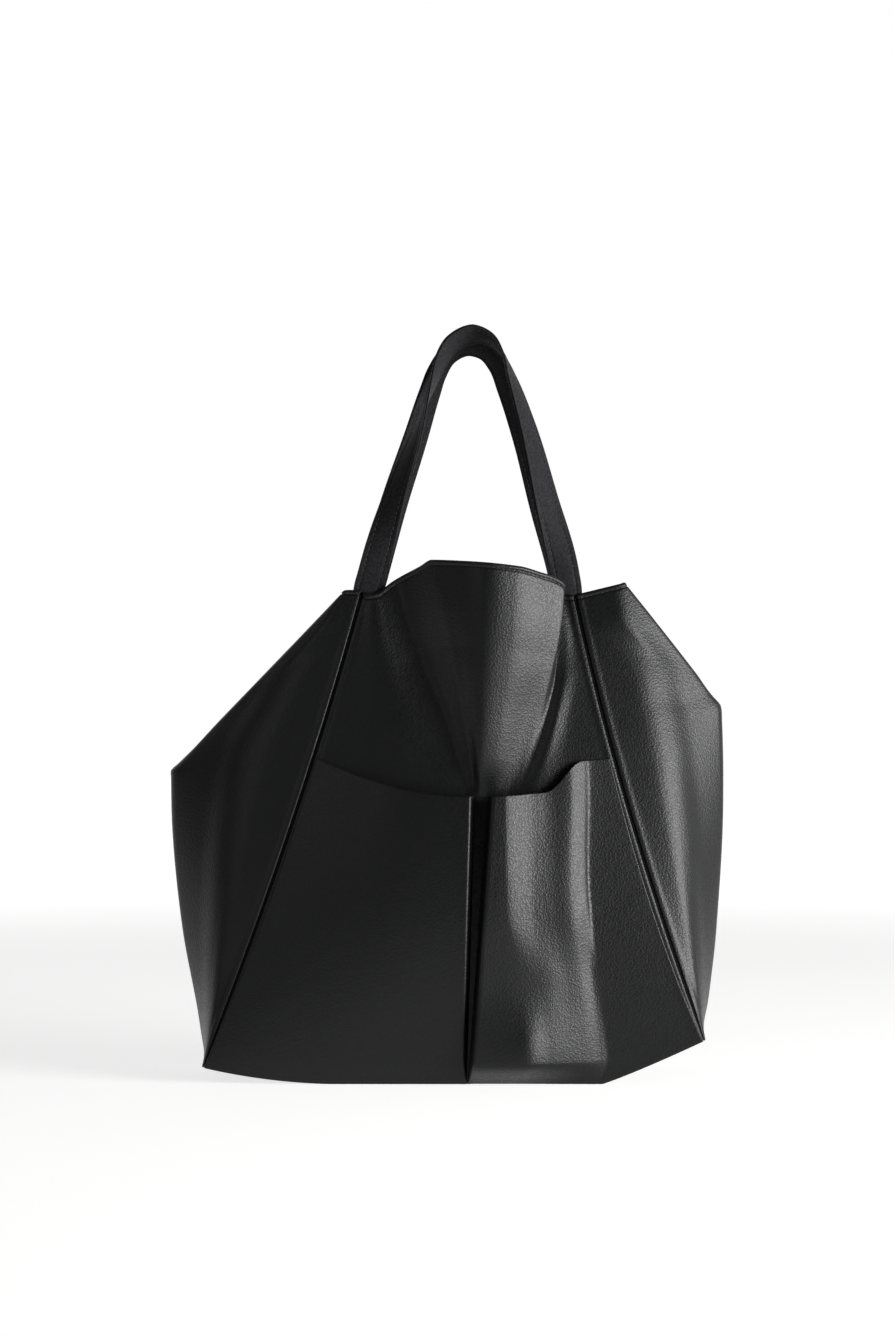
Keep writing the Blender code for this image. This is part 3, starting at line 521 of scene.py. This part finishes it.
# Each line has its place across the sheet. Then come, at the base and at each step up the funnel, its
# share of the way between the seams and its share of the funnel's depth.
FUNNEL_STEPS = (0, 0.186, 0.395, 0.628, 0.837, 1)
FRONT_LINES = (
    (0.10, (0.152, 0.280, 0.304, 0.250, 0.174, 0.103, 0.052), (0, 0, 0.03, 0.08, 0.10, 0.09, 0.08)),
    (0.20, (0.308, 0.510, 0.476, 0.416, 0.317, 0.220, 0.152), (0, 0, 0, 0.01, 0.01, 0.01, 0.01)),
    (0.32, (0.420, 0.538, 0.525, 0.498, 0.455, 0.410, 0.382), (0, 0, 0.15, 0.33, 0.50, 0.59, 0.62)),
    (0.44, (0.531, 0.559, 0.562, 0.567, 0.576, 0.586, 0.592), (0, 0, 0.32, 0.56, 0.80, 0.94, 1)),
    (0.52, (0.598, 0.590, 0.610, 0.635, 0.670, 0.695, 0.712), (0, 0, 0.26, 0.48, 0.71, 0.85, 0.90)),
    (0.66, (0.688, 0.625, 0.670, 0.735, 0.817, 0.873, 0.906), (0, 0, 0.10, 0.20, 0.33, 0.42, 0.45)),
    (LIP_KNOT, (0.732, 0.645, 0.700, 0.770, 0.852, 0.915, 0.953), (0, 0, 0.05, 0.12, 0.22, 0.29, 0.32)),
    (0.82, (0.766, 0.670, 0.725, 0.795, 0.860, 0.888, 0.901), (0, 0.01, 0.03, 0.05, 0.08, 0.12, 0.14)),
    (0.90, (0.844, 0.725, 0.768, 0.832, 0.897, 0.932, 0.932), (0, 0.04, 0.09, 0.105, 0.075, 0.05, 0.02)),
    (0.95, (0.911, 0.837, 0.840, 0.885, 0.946, 0.961, 0.963), (0, 0.02, 0.04, 0.04, 0.03, 0.01, 0)),
)


def front_lines(v):
    """Places across of the front panel's lines, and at heights v their share across and their depth."""
    heights = [0, *[mix(FUNNEL_FOOT, 1, step) for step in FUNNEL_STEPS]]
    across = [curve_through(tuple(zip(heights, line[1])), v) for line in FRONT_LINES]
    forward = [FUNNEL_DEPTH * curve_through(tuple(zip(heights, line[2])), v) for line in FRONT_LINES]
    knots = np.array([0, *[line[0] for line in FRONT_LINES], 1])
    return knots, np.stack([0 * v, *across, 0 * v + 1]), np.stack([0 * v, *forward, 0 * v])


def front_rim_rise(u):
    """How far the rim stands above the line between the seam tops: its shape runs from the left seam to
    the lip, and falls behind the lip."""
    knots, across, _ = front_lines(np.ones_like(u))
    lip = across[list(knots).index(LIP_KNOT)]
    share = through(knots, across, np.minimum(u, LIP_KNOT)) / lip
    return RIM_RISE * curve_through(RIM_SHAPE, share) * (1 - ease((u - LIP_KNOT) / LIP_FALL))


def front_surface(u, v):
    """Outer face of the front panel: the plain wall, moved forward along the lines."""
    knots, across, forward = front_lines(v)
    x, depth, z = wall(through(knots, across, u), v, FRONT_PILLOW)
    rise = front_rim_rise(u) * np.clip((v - FUNNEL_FOOT) / (1 - FUNNEL_FOOT), 0, 1)
    return np.stack([x, -depth - through(knots, forward, u), z + rise], -1)


front_columns = np.concatenate([
    mix(0, 0.20, closer_at_ends(50, 0.6)), np.linspace(0.20, 0.66, 80)[1:],
    np.linspace(0.66, 0.90, 60)[1:], mix(0.90, 1, np.linspace(0, 1, 40)[1:] ** 0.8),
])
front_face = grid(between_seams(front_surface), front_columns, rows_to_rim(160))
front_face = with_hem(with_turned_edges(front_face, 1), 1)
front = cut_sheet("front_leather", front_face, LEATHER, 1, panel_leather)
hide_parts("front_panel")
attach(front, "bag")


# The two outside pockets: one sheet of the same leather each, sewn in with the front panel at its side
# and foot. Each stands off the front panel and rolls back to it beside the slit between the two.
POCKET_SIDE_HEIGHT, POCKET_DROP = 0.289, 0.033
STEP_FROM, STEP_WIDTH, STEP_SHARE = 0.24, 0.36, 0.75
SLIT_TOP, SLIT_BOTTOM = 0.0307, 0.0180
SLIT_WIDTH_TOP, SLIT_WIDTH_BOTTOM = 0.0115, 0.0010
POCKET_EASE, POCKET_EDGE_EASE, POCKET_ROLL, ROLL_FROM = 0.0006, 0.0012, 0.005, 0.86
# Each line has its place from the side seam to the roll beside the slit, then at each height its share
# of that way and its share of the pocket's gape.
GAPE = {-1: 0.019, 1: 0.0265}
POCKET_HEIGHTS = (0, 0.08, 0.35, 0.6, 1)
POCKET_LINES = {
    -1: (
        (0.30, (0.30, 0.30, 0.30, 0.30, 0.30), (0, 0.15, 0.37, 0.45, 0.47)),
        (0.65, (0.65, 0.65, 0.65, 0.65, 0.65), (0, 0.30, 0.71, 0.84, 0.895)),
        (1, (1, 1, 1, 1, 1), (0, 0.34, 0.79, 0.95, 1)),
    ),
    1: (
        (0.22, (0.454, 0.390, 0.370, 0.345, 0.179), (0, 0.010, 0.030, 0.045, 0.060)),
        (0.28, (0.473, 0.420, 0.405, 0.384, 0.238), (0, 0.060, 0.050, 0.174, 0.196)),
        (0.38, (0.542, 0.485, 0.475, 0.488, 0.366), (0, 0.250, 0.220, 0.411, 0.404)),
        (0.50, (0.631, 0.575, 0.560, 0.596, 0.542), (0, 0.500, 0.370, 0.487, 0.460)),
        (0.62, (0.710, 0.665, 0.655, 0.708, 0.679), (0, 0.750, 0.550, 0.604, 0.589)),
        (0.78, (0.853, 0.785, 0.800, 0.882, 0.925), (0, 1.050, 0.710, 0.928, 0.974)),
        (1, (1, 1, 1, 1, 1), (0, 1, 0.845, 0.981, 1)),
    ),
}


def slit_edge(side, z):
    """Where a pocket's inner edge stands beside the slit between the two pockets."""
    up = np.clip(z / (POCKET_SIDE_HEIGHT - POCKET_DROP), 0, 1)
    return mix(SLIT_BOTTOM, SLIT_TOP, up) + side * mix(SLIT_WIDTH_BOTTOM, SLIT_WIDTH_TOP, up) / 2


def pocket_drop(side, f):
    """How far a pocket's top edge hangs below its height at the side seam, f from there to the slit: a
    quarter wave on the left pocket, and a slope with a smooth step on the right one."""
    if side < 0:
        return POCKET_DROP * np.sin(math.pi / 2 * f)
    return POCKET_DROP * mix(f, ease((f - STEP_FROM) / STEP_WIDTH), STEP_SHARE)


def pocket_lines(side, q, r):
    """Share of the way from the seam to the slit, and distance off the front panel, at places q and r."""
    lines = POCKET_LINES[side]
    knots = np.array([0, *[line[0] for line in lines]])
    share = np.stack([0 * r, *[curve_through(tuple(zip(POCKET_HEIGHTS, line[1])), r) for line in lines]])
    off = np.stack([0 * r, *[curve_through(tuple(zip(POCKET_HEIGHTS, line[2])), r) for line in lines]])
    return through(knots, share, q), GAPE[side] * through(knots, off, q)


def pocket_surface(side, q, r):
    """Outer face of a pocket: the plain wall of the front, moved forward by the gape and the leather,
    with its last stretch turned back in a quarter round beside the slit."""
    f, gape = pocket_lines(side, np.clip(q / ROLL_FROM, 0, 1), r)
    turn = np.clip((q - ROLL_FROM) / (1 - ROLL_FROM), 0, 1) * math.pi / 2
    top = POCKET_SIDE_HEIGHT - pocket_drop(side, f)
    seam = seam_x(side, r * top / MOUTH_HEIGHT) - side * SEAM_GAP
    edge = slit_edge(side, r * top) + side * LEATHER
    x = mix(seam, edge + side * POCKET_ROLL, f) - side * (POCKET_ROLL + LEATHER) * np.sin(turn) ** 0.7
    z = mix(base_lift(x), top, r)
    v = z / MOUTH_HEIGHT
    w = (x - seam_x(-1, v)) / (seam_x(1, v) - seam_x(-1, v))
    _, depth, _ = wall(w, v, FRONT_PILLOW)
    gape = (gape + LEATHER) * np.cos(turn) + POCKET_EDGE_EASE * np.sin(turn)
    return np.stack([x, -depth - POCKET_EASE - gape, z], -1)


for side, name in ((-1, "left_pocket"), (1, "right_pocket")):
    columns = np.concatenate([closer_at_ends(130, 0.5) * ROLL_FROM, np.linspace(ROLL_FROM, 1, 30)[1:]])
    face = grid(lambda q, r, side=side: pocket_surface(side, q, r), columns, rows_to_rim(150))
    pocket = cut_sheet(f"{name}_leather", face, LEATHER, -side, panel_leather)
    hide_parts(name)
    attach(pocket, "bag")


# The four upright seams: the edges of two panels are turned and sewn over a flat strip of matt leather,
# which shows as a dark groove between them and ends rounded at the foot.
STRIP_LEATHER, STRIP_REACH, STRIP_DEPTH, STRIP_CROWN = 0.0009, 0.0042, 0.0022, 0.0016
strip_leather = pebbled_leather("matt_seam_strip", "#0a0a0b", "#0d0d0e", 0.75, 1.6, 0.03, 0.12)


def under_edge(surface, out, end, v):
    """The line that lies STRIP_REACH from a panel's seam and STRIP_DEPTH under its face."""
    places = np.array([0, 0.002]) if end == 0 else np.array([0.998, 1])
    pair = grid(between_seams(surface, STRIP_REACH), places, v)
    normal = np.cross(pair[1] - pair[0], np.gradient(pair[0], axis=0))
    normal /= np.linalg.norm(normal, axis=-1, keepdims=True)
    return pair[0 if end == 0 else 1] - normal * out * STRIP_DEPTH


for side, side_name in ((-1, "left"), (1, "right")):
    for end, end_name, sheet, sheet_out in (
        (-1, "front", front_surface, 1), (1, "back", back_surface, -1),
    ):
        v = np.linspace(0.002, 0.998, 160)
        wing = lambda s, v, side=side: side_surface(side, s, v)
        here = 0 if side < 0 else 1
        on_sheet = under_edge(sheet, sheet_out, here, v)
        on_wing = under_edge(wing, side, 0 if end < 0 else 1, v)
        seam = sheet(0 * v + here, v)
        middle = mix(on_sheet, on_wing, 0.5)
        towards = middle - seam
        crown = seam + towards / np.linalg.norm(towards, axis=-1, keepdims=True) * STRIP_CROWN
        p = np.linspace(-1, 1, 13)[:, None, None]
        profile = on_sheet * p * (p - 1) / 2 + crown * (1 - p * p) + on_wing * p * (p + 1) / 2
        facing = 1 if np.sum(normals(profile)[6] * -towards) > 0 else -1
        name = f"{end_name}_{side_name}_seam"
        strip = cut_sheet(f"{name}_strip", profile, STRIP_LEATHER, facing, strip_leather)
        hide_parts(f"{name}_welt")
        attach(strip, "bag")


# The facings: strips of thinner split leather sewn behind the front and back rims, with the handles'
# feet beside them.
FACING_LEATHER, FACING_HEIGHT, FACING_GAP = 0.0010, 0.030, 0.0006
FRONT_FACING_COLUMNS, BACK_FACING_COLUMNS = (60, 130), (26, 94)
facing_leather = pebbled_leather("thin_split_leather", "#161617", "#1b1b1d", 0.6, 1.4, 0.05, 0.2)

for name, face, out, (first, last) in (
    ("front_rim_facing", front_face, 1, FRONT_FACING_COLUMNS),
    ("back_rim_facing", back_face, -1, BACK_FACING_COLUMNS),
):
    run = run_of(face, 1)[60]
    start = int(np.sum(run[-1] - run > FACING_HEIGHT))
    strip = face[first:last, start:] - normals(face)[first:last, start:] * out * (LEATHER + FACING_GAP)
    facing = cut_sheet(f"{name}_leather", strip, FACING_LEATHER, out, facing_leather)
    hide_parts(name)
    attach(facing, "bag")


# The stitching along the rims: bonded nylon thread, eight to ten stitches to 50 mm, each pulled down
# into a small dimple so that it shows as a short dark dash with a glint.
STITCH_SPACING, STITCH_LENGTH, STITCH_WIDTH, STITCH_HEIGHT = 0.0048, 0.0034, 0.00075, 0.0005
STITCH_SLANT, STITCH_LIFT = 0.12, 0.0001
# The front row ends where the leather rolls under the lip, at this column of its grid.
LIP_COLUMN = 186

# Bonded nylon is black and smooth with a soft sheen, and its twist barely shows.
TWIST_MM = 0.5556

nylon_thread, tree, shader = new_material("bonded_nylon_thread")
place = node(tree, "ShaderNodeTexCoord").outputs["Object"]
twist = node(tree, "ShaderNodeTexNoise", [("Vector", place)], Scale=1000 / TWIST_MM, Detail=1.0)
tone = node(tree, "ShaderNodeMix", [("Factor", twist.outputs["Fac"])], data_type="RGBA")
tone.inputs[6].default_value = linear("#0b0b0c")
tone.inputs[7].default_value = linear("#1a1a1c")
tree.links.new(shader.inputs["Base Color"], tone.outputs[2])
shader.inputs["Roughness"].default_value = 0.45


def points_along(at, run, path):
    """Points at the given distances along a path, on straight lines between its own points."""
    return np.stack([np.interp(at, run, path[:, k]) for k in range(3)], -1)


def stitch_row(name, path, out_ways, body):
    """A row of stitches along a path. Each is a short rod of eight sides: six rings of points whose
    radius is that of an ellipse, laid along the path and flattened onto the leather."""
    steps = np.linalg.norm(np.diff(path, axis=0), axis=1)
    run = np.concatenate([[0], np.cumsum(steps)])
    count = int(run[-1] / STITCH_SPACING)
    at = (np.arange(count) + 0.5) * run[-1] / count
    centre = points_along(at, run, path)
    up = points_along(at, run, out_ways)
    ahead = points_along(at + 0.0005, run, path) - points_along(at - 0.0005, run, path)
    ahead /= np.linalg.norm(ahead, axis=1, keepdims=True)
    across = np.cross(up, ahead)
    across /= np.linalg.norm(across, axis=1, keepdims=True)
    ahead = ahead + STITCH_SLANT * across
    along, around = np.meshgrid(np.linspace(-1, 1, 6), np.arange(8) * math.pi / 4, indexing="ij")
    radius = np.sqrt(1 - (0.94 * along) ** 2)
    rod = np.stack([along * STITCH_LENGTH / 2, radius * np.cos(around) * STITCH_WIDTH / 2,
                    radius * np.sin(around) * STITCH_HEIGHT], -1).reshape(-1, 3)
    ways = np.stack([ahead, across, up], 1)
    points = centre[:, None, :] + np.einsum("pk,skc->spc", rod, ways)
    index = np.arange(48).reshape(6, 8)
    around_next = np.roll(index, -1, axis=1)
    tube = np.stack([index[:-1], around_next[:-1], around_next[1:], index[1:]], -1).reshape(-1, 4)
    caps = np.array([
        [0, 7, 6, 5], [0, 5, 4, 3], [0, 3, 2, 1],
        [40, 41, 42, 43], [40, 43, 44, 45], [40, 45, 46, 47],
    ])
    rod_faces = np.concatenate([tube[:, ::-1], caps[:, ::-1]])
    faces = (rod_faces[None] + 48 * np.arange(count)[:, None, None]).reshape(-1, 4)
    row = piece(name, points.reshape(-1, 3), faces, nylon_thread)
    if body:
        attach(row, body)
    return row


def hem_line(face, out):
    """The groove of a hem: on each column the point HEM below the rim, and the way out of the
    leather there."""
    run = run_of(face, 1)
    nearest = np.argmin(np.abs(run[:, -1:] - run - HEM), axis=1)
    columns = np.arange(face.shape[0])
    way = normals(face) * out
    return face[columns, nearest] + way[columns, nearest] * STITCH_LIFT, way[columns, nearest]


for name, face, out in (
    ("front_rim_stitches", front_face[:LIP_COLUMN], 1), ("back_rim_stitches", back_face, -1),
    ("left_rim_stitches", sides[-1], -1), ("right_rim_stitches", sides[1], 1),
):
    stitch_row(name, *hem_line(face, out), "bag")


# The two handles: each is one strap of two plies of smooth leather, sewn together along both edges. Its
# feet are sewn behind the rim. It twists as it rises, and its top lies over whatever the bag hangs on.
STRAP_WIDTH, STRAP_THICKNESS, STRAP_PLY = 0.025, 0.0031, 0.0014
STRAP_STITCH_INSET, STRAP_PUFF, STRAP_GROOVE, GROOVE_WIDTH = 0.0042, 0.0005, 0.0004, 0.0007
STITCH_COLUMNS, FOOT_ROWS = (("left", 10), ("right", 50)), 34
HANDLE_TOP = 0.680
HINGE_SIDEWAYS, HINGE_DEPTH, HINGE_HEIGHT, BEND = 0.024, 0.0359, 0.455, 0.007
REAR_HANDLE_LOWER, REAR_HANDLE_LEFT = 0.009, 0.004
FOOT_GAP, TOP_GAP, TOP_TILT = 0.0008, 0.0004, 30
DRAWN_FROM, DRAWN_OVER = 0.2, 0.75
LOOP = (
    (-0.0720, 0.4015), (-0.0722, 0.4280), (-0.0712, 0.4410), (-0.0675, 0.4550), (-0.0480, 0.5230),
    (-0.0262, 0.5877), (-0.0125, 0.6300), (-0.0055, 0.6490), (0.0050, 0.6650), (0.0220, 0.6730),
    (0.0390, 0.6690), (0.0500, 0.6560), (0.0590, 0.6330), (0.0735, 0.5877), (0.0895, 0.5230),
    (0.1063, 0.4550), (0.1085, 0.4410), (0.1085, 0.4280), (0.1075, 0.4015),
)
# Degrees that the front strap has turned, against the share of its way up, on its left and right, and
# those of the rear strap.
LEFT_SPIN = ((0, 0), (0.16, 0), (0.40, 36), (0.60, 64), (0.75, 92), (0.90, 117), (1, 125))
RIGHT_SPIN = ((0, 0), (0.16, 0), (0.40, 33), (0.62, 54), (0.80, 72), (0.91, 96), (1, 125))
REAR_SPIN = ((0, 0), (0.16, 0), (0.40, 20), (0.62, 36), (0.80, 48), (1, 60))
strap_leather = pebbled_leather("smooth_strap_leather", "#2a2a2c", "#2e2e31", 0.58, 1.6, 0.03, 0.1)


def smooth_path(points, count):
    """A round curve through points, evenly spaced: cubic pieces whose slopes are those of the chords
    between each point's neighbours."""
    p = np.array(points, float)
    knots = np.concatenate([[0], np.cumsum(np.linalg.norm(np.diff(p, axis=0), axis=1))])
    slope = np.gradient(p, knots, axis=0)
    at = np.linspace(0, knots[-1], count)
    i = np.clip(np.searchsorted(knots, at) - 1, 0, len(p) - 2)
    width = (knots[i + 1] - knots[i])[:, None]
    t = ((at - knots[i]) / width[:, 0])[:, None]
    return (p[i] * (1 + 2 * t) * (1 - t) ** 2 + p[i + 1] * t * t * (3 - 2 * t)
            + width * (slope[i] * t * (1 - t) ** 2 - slope[i + 1] * t * t * (1 - t)))


def strap_frame(end, count=380):
    """Middle line of a handle with the way that its outer face looks and the way across it.

    Its depth goes from behind the rim to the middle of the bag, and its spin follows the share of the
    way from a foot to the top.
    """
    flat = smooth_path(LOOP, count)
    if end > 0:
        top = np.clip((flat[:, 1] - HINGE_HEIGHT) / (HANDLE_TOP - HINGE_HEIGHT), 0, 1)
        flat = flat - np.stack([REAR_HANDLE_LEFT * top, REAR_HANDLE_LOWER * top], -1)
    run = np.concatenate([[0], np.cumsum(np.linalg.norm(np.diff(flat, axis=0), axis=1))])
    top_at = run[np.argmax(flat[:, 1])]
    climb = np.where(run < top_at, run / top_at, (run[-1] - run) / (run[-1] - top_at))
    left, right = (LEFT_SPIN, RIGHT_SPIN) if end < 0 else (REAR_SPIN, REAR_SPIN)
    spin = np.radians(np.where(run < top_at, curve_through(left, climb), curve_through(right, climb)))
    wall_depth = half_depth(np.minimum(flat[:, 1] / MOUTH_HEIGHT, 1))
    behind = wall_depth - LEATHER - FOOT_GAP - STRAP_THICKNESS / 2
    apex = STRAP_WIDTH / 2 * math.cos(math.radians(TOP_TILT)) + STRAP_THICKNESS / 2 + TOP_GAP
    depth = mix(behind, apex, ease((climb - DRAWN_FROM) / DRAWN_OVER))
    line = np.stack([flat[:, 0], end * depth, flat[:, 1]], -1)
    along = np.gradient(line, axis=0)
    along /= np.linalg.norm(along, axis=1, keepdims=True)
    outward = np.stack([-along[:, 2], 0 * along[:, 0], along[:, 0]], -1)
    outward /= np.linalg.norm(outward, axis=1, keepdims=True)
    level = -end * np.cross(along, outward)
    face = np.cos(spin)[:, None] * level + np.sin(spin)[:, None] * outward
    return line, face, np.cross(along, face)


def ply(line, face, across, offset, way):
    """One ply as a grid: columns across the strap, puffed up between its two sewn grooves."""
    x = np.linspace(-1, 1, 61) * STRAP_WIDTH / 2
    inset = STRAP_WIDTH / 2 - STRAP_STITCH_INSET
    puff = STRAP_PUFF * np.clip(1 - (x / inset) ** 2, 0, 1)
    groove = STRAP_GROOVE * np.exp(-(((np.abs(x) - inset) / GROOVE_WIDTH) ** 2))
    height = offset + way * (puff - groove)
    return line[:, None] + face[:, None] * height[None, :, None] + across[:, None] * x[None, :, None]


for end, name in ((-1, "front_handle"), (1, "rear_handle")):
    line, face_way, across = strap_frame(end)
    half = STRAP_THICKNESS / 2
    for part, way in (("strap", 1), ("lining", -1)):
        points = ply(line, face_way, across, way * half, way)
        facing = 1 if np.sum(normals(points)[190, 30] * face_way[190] * way) > 0 else -1
        made = cut_sheet(f"{name}_{part}_leather", points, STRAP_PLY, facing, strap_leather)
        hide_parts(f"{name}_{part}")
        if part == "strap":
            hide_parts(f"{name}_left_end", f"{name}_right_end")
        pieces = [made]
        for edge, column in STITCH_COLUMNS:
            ways = face_way * way
            path = points[:, column] + ways * STITCH_LIFT
            shown = slice(FOOT_ROWS, -FOOT_ROWS)
            pieces.append(stitch_row(f"{name}_{part}_{edge}_stitches", path[shown], ways[shown], None))
        for one in pieces:
            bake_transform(one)


# The stage: a pale round floor, which runs out into a white studio. It keeps the object's shadow. The
# half of the studio behind the object shows white in gloss too, and the half before it stays dark.
STUDIO_WHITE, FLOOR_GLOW, DARK_HALF = 1.0, 0.75, 0.055
FLOOR_RADIUS, FLOOR_DROP, WHITE_FROM, WHITE_TO, DARK_BEFORE = 9.0, 0.0003, 1.3, 3.2, -1.4

# Backdrop paper is pale grey, matt pulp with faint clouds.
PAPER_CLOUD_MM = 33.33

backdrop_paper, tree, shader = new_material("pale_backdrop_paper")
place = node(tree, "ShaderNodeTexCoord").outputs["Object"]
pulp = node(tree, "ShaderNodeTexNoise", [("Vector", place)], Scale=1000 / PAPER_CLOUD_MM, Detail=3.0)
tone = node(tree, "ShaderNodeMix", [("Factor", pulp.outputs["Fac"])], data_type="RGBA")
tone.inputs[6].default_value = linear("#b2b2b0")
tone.inputs[7].default_value = linear("#bbbbb9")
tree.links.new(shader.inputs["Base Color"], tone.outputs[2])
shader.inputs["Roughness"].default_value = 0.9


def seen_white(tree, away, start, end):
    """1 for rays that see the studio white: camera rays, and glossy and transmitted ones whose value
    away, along Y, has passed from start to end."""
    parted = node(tree, "ShaderNodeSeparateXYZ", [(0, away)])
    behind = node(
        tree, "ShaderNodeMapRange", [("Value", parted.outputs["Y"])], From_Min=start, From_Max=end,
    )
    rays = node(tree, "ShaderNodeLightPath")
    gloss = node(
        tree, "ShaderNodeMath",
        [(0, rays.outputs["Is Glossy Ray"]), (1, rays.outputs["Is Transmission Ray"])],
        operation="ADD",
    )
    lit = node(
        tree, "ShaderNodeMath", [(0, gloss.outputs[0]), (1, behind.outputs["Result"])],
        operation="MULTIPLY",
    )
    seen = node(
        tree, "ShaderNodeMath", [(0, lit.outputs[0]), (1, rays.outputs["Is Camera Ray"])],
        operation="ADD", use_clamp=True,
    )
    return seen.outputs[0]


far = node(tree, "ShaderNodeVectorMath", [(0, place)], operation="LENGTH")
glow = node(
    tree, "ShaderNodeMapRange", [("Value", far.outputs["Value"])],
    interpolation_type="SMOOTHSTEP",
    From_Min=WHITE_FROM, From_Max=WHITE_TO, To_Min=FLOOR_GLOW, To_Max=1.0,
)
shown = node(
    tree, "ShaderNodeMath",
    [(0, glow.outputs["Result"]), (1, seen_white(tree, place, DARK_BEFORE, DARK_BEFORE + 0.3))],
    operation="MULTIPLY",
)
shader.inputs["Emission Color"].default_value = (1, 1, 1, 1)
tree.links.new(shader.inputs["Emission Strength"], shown.outputs[0])


def round_floor(out, turn):
    """A disc FLOOR_DROP under the object: out is the share of its radius and turn that of a turn."""
    angle, radius = 2 * math.pi * turn, FLOOR_RADIUS * out
    return np.stack([radius * np.cos(angle), radius * np.sin(angle), 0 * out - FLOOR_DROP], -1)


floor_points = grid(round_floor, np.linspace(0.0005, 1, 40), np.linspace(0, 1, 97))
floor_faces = quads_of(np.arange(40 * 97).reshape(40, 97))
floor = piece("floor", floor_points.reshape(-1, 3), floor_faces, backdrop_paper)


def soft_light(name, place, target, width, height, watts):
    """An area lamp that faces a target."""
    lamp = bpy.data.lights.new(name, "AREA")
    lamp.shape = "RECTANGLE"
    lamp.size, lamp.size_y, lamp.energy = width, height, watts
    made = bpy.data.objects.new(name, lamp)
    made.location = place
    made.rotation_euler = (Vector(target) - Vector(place)).to_track_quat("-Z", "Y").to_euler()
    bpy.context.scene.collection.objects.link(made)


soft_light("window", (1.95, -1.22, 0.50), (0, 0, 0.25), 1.5, 0.96, 96)
soft_light("fill", (-1.9, -2.4, 1.5), (0, 0, 0.25), 1.5, 1.5, 9)

world = bpy.data.worlds.new("studio_air")
bpy.context.scene.world = world
world.use_nodes = True
air = world.node_tree
sky = air.nodes["Background"]
sky.inputs["Color"].default_value = (1, 1, 1, 1)
direction = node(air, "ShaderNodeTexCoord").outputs["Generated"]
strength = node(
    air, "ShaderNodeMapRange", [("Value", seen_white(air, direction, -0.1, 0.2))],
    To_Min=DARK_HALF, To_Max=STUDIO_WHITE,
)
air.links.new(sky.inputs["Strength"], strength.outputs["Result"])

# The camera looks level at the front. The frame's height is that at the funnel's crest.
CAMERA_DISTANCE, CAMERA_HEIGHT, FRAME_HEIGHT, CREST_AHEAD = 3.2, 0.370, 1.2033, 0.04
camera_data = bpy.data.cameras.new("camera")
camera_data.sensor_fit = "VERTICAL"
camera_data.sensor_height = 36
camera_data.lens = camera_data.sensor_height * (CAMERA_DISTANCE - CREST_AHEAD) / FRAME_HEIGHT
camera = bpy.data.objects.new("camera", camera_data)
camera.location = (0, -CAMERA_DISTANCE, CAMERA_HEIGHT)
camera.rotation_euler = (math.pi / 2, 0, 0)
bpy.context.scene.collection.objects.link(camera)
bpy.context.scene.camera = camera
bpy.context.scene.view_settings.view_transform = "Standard"
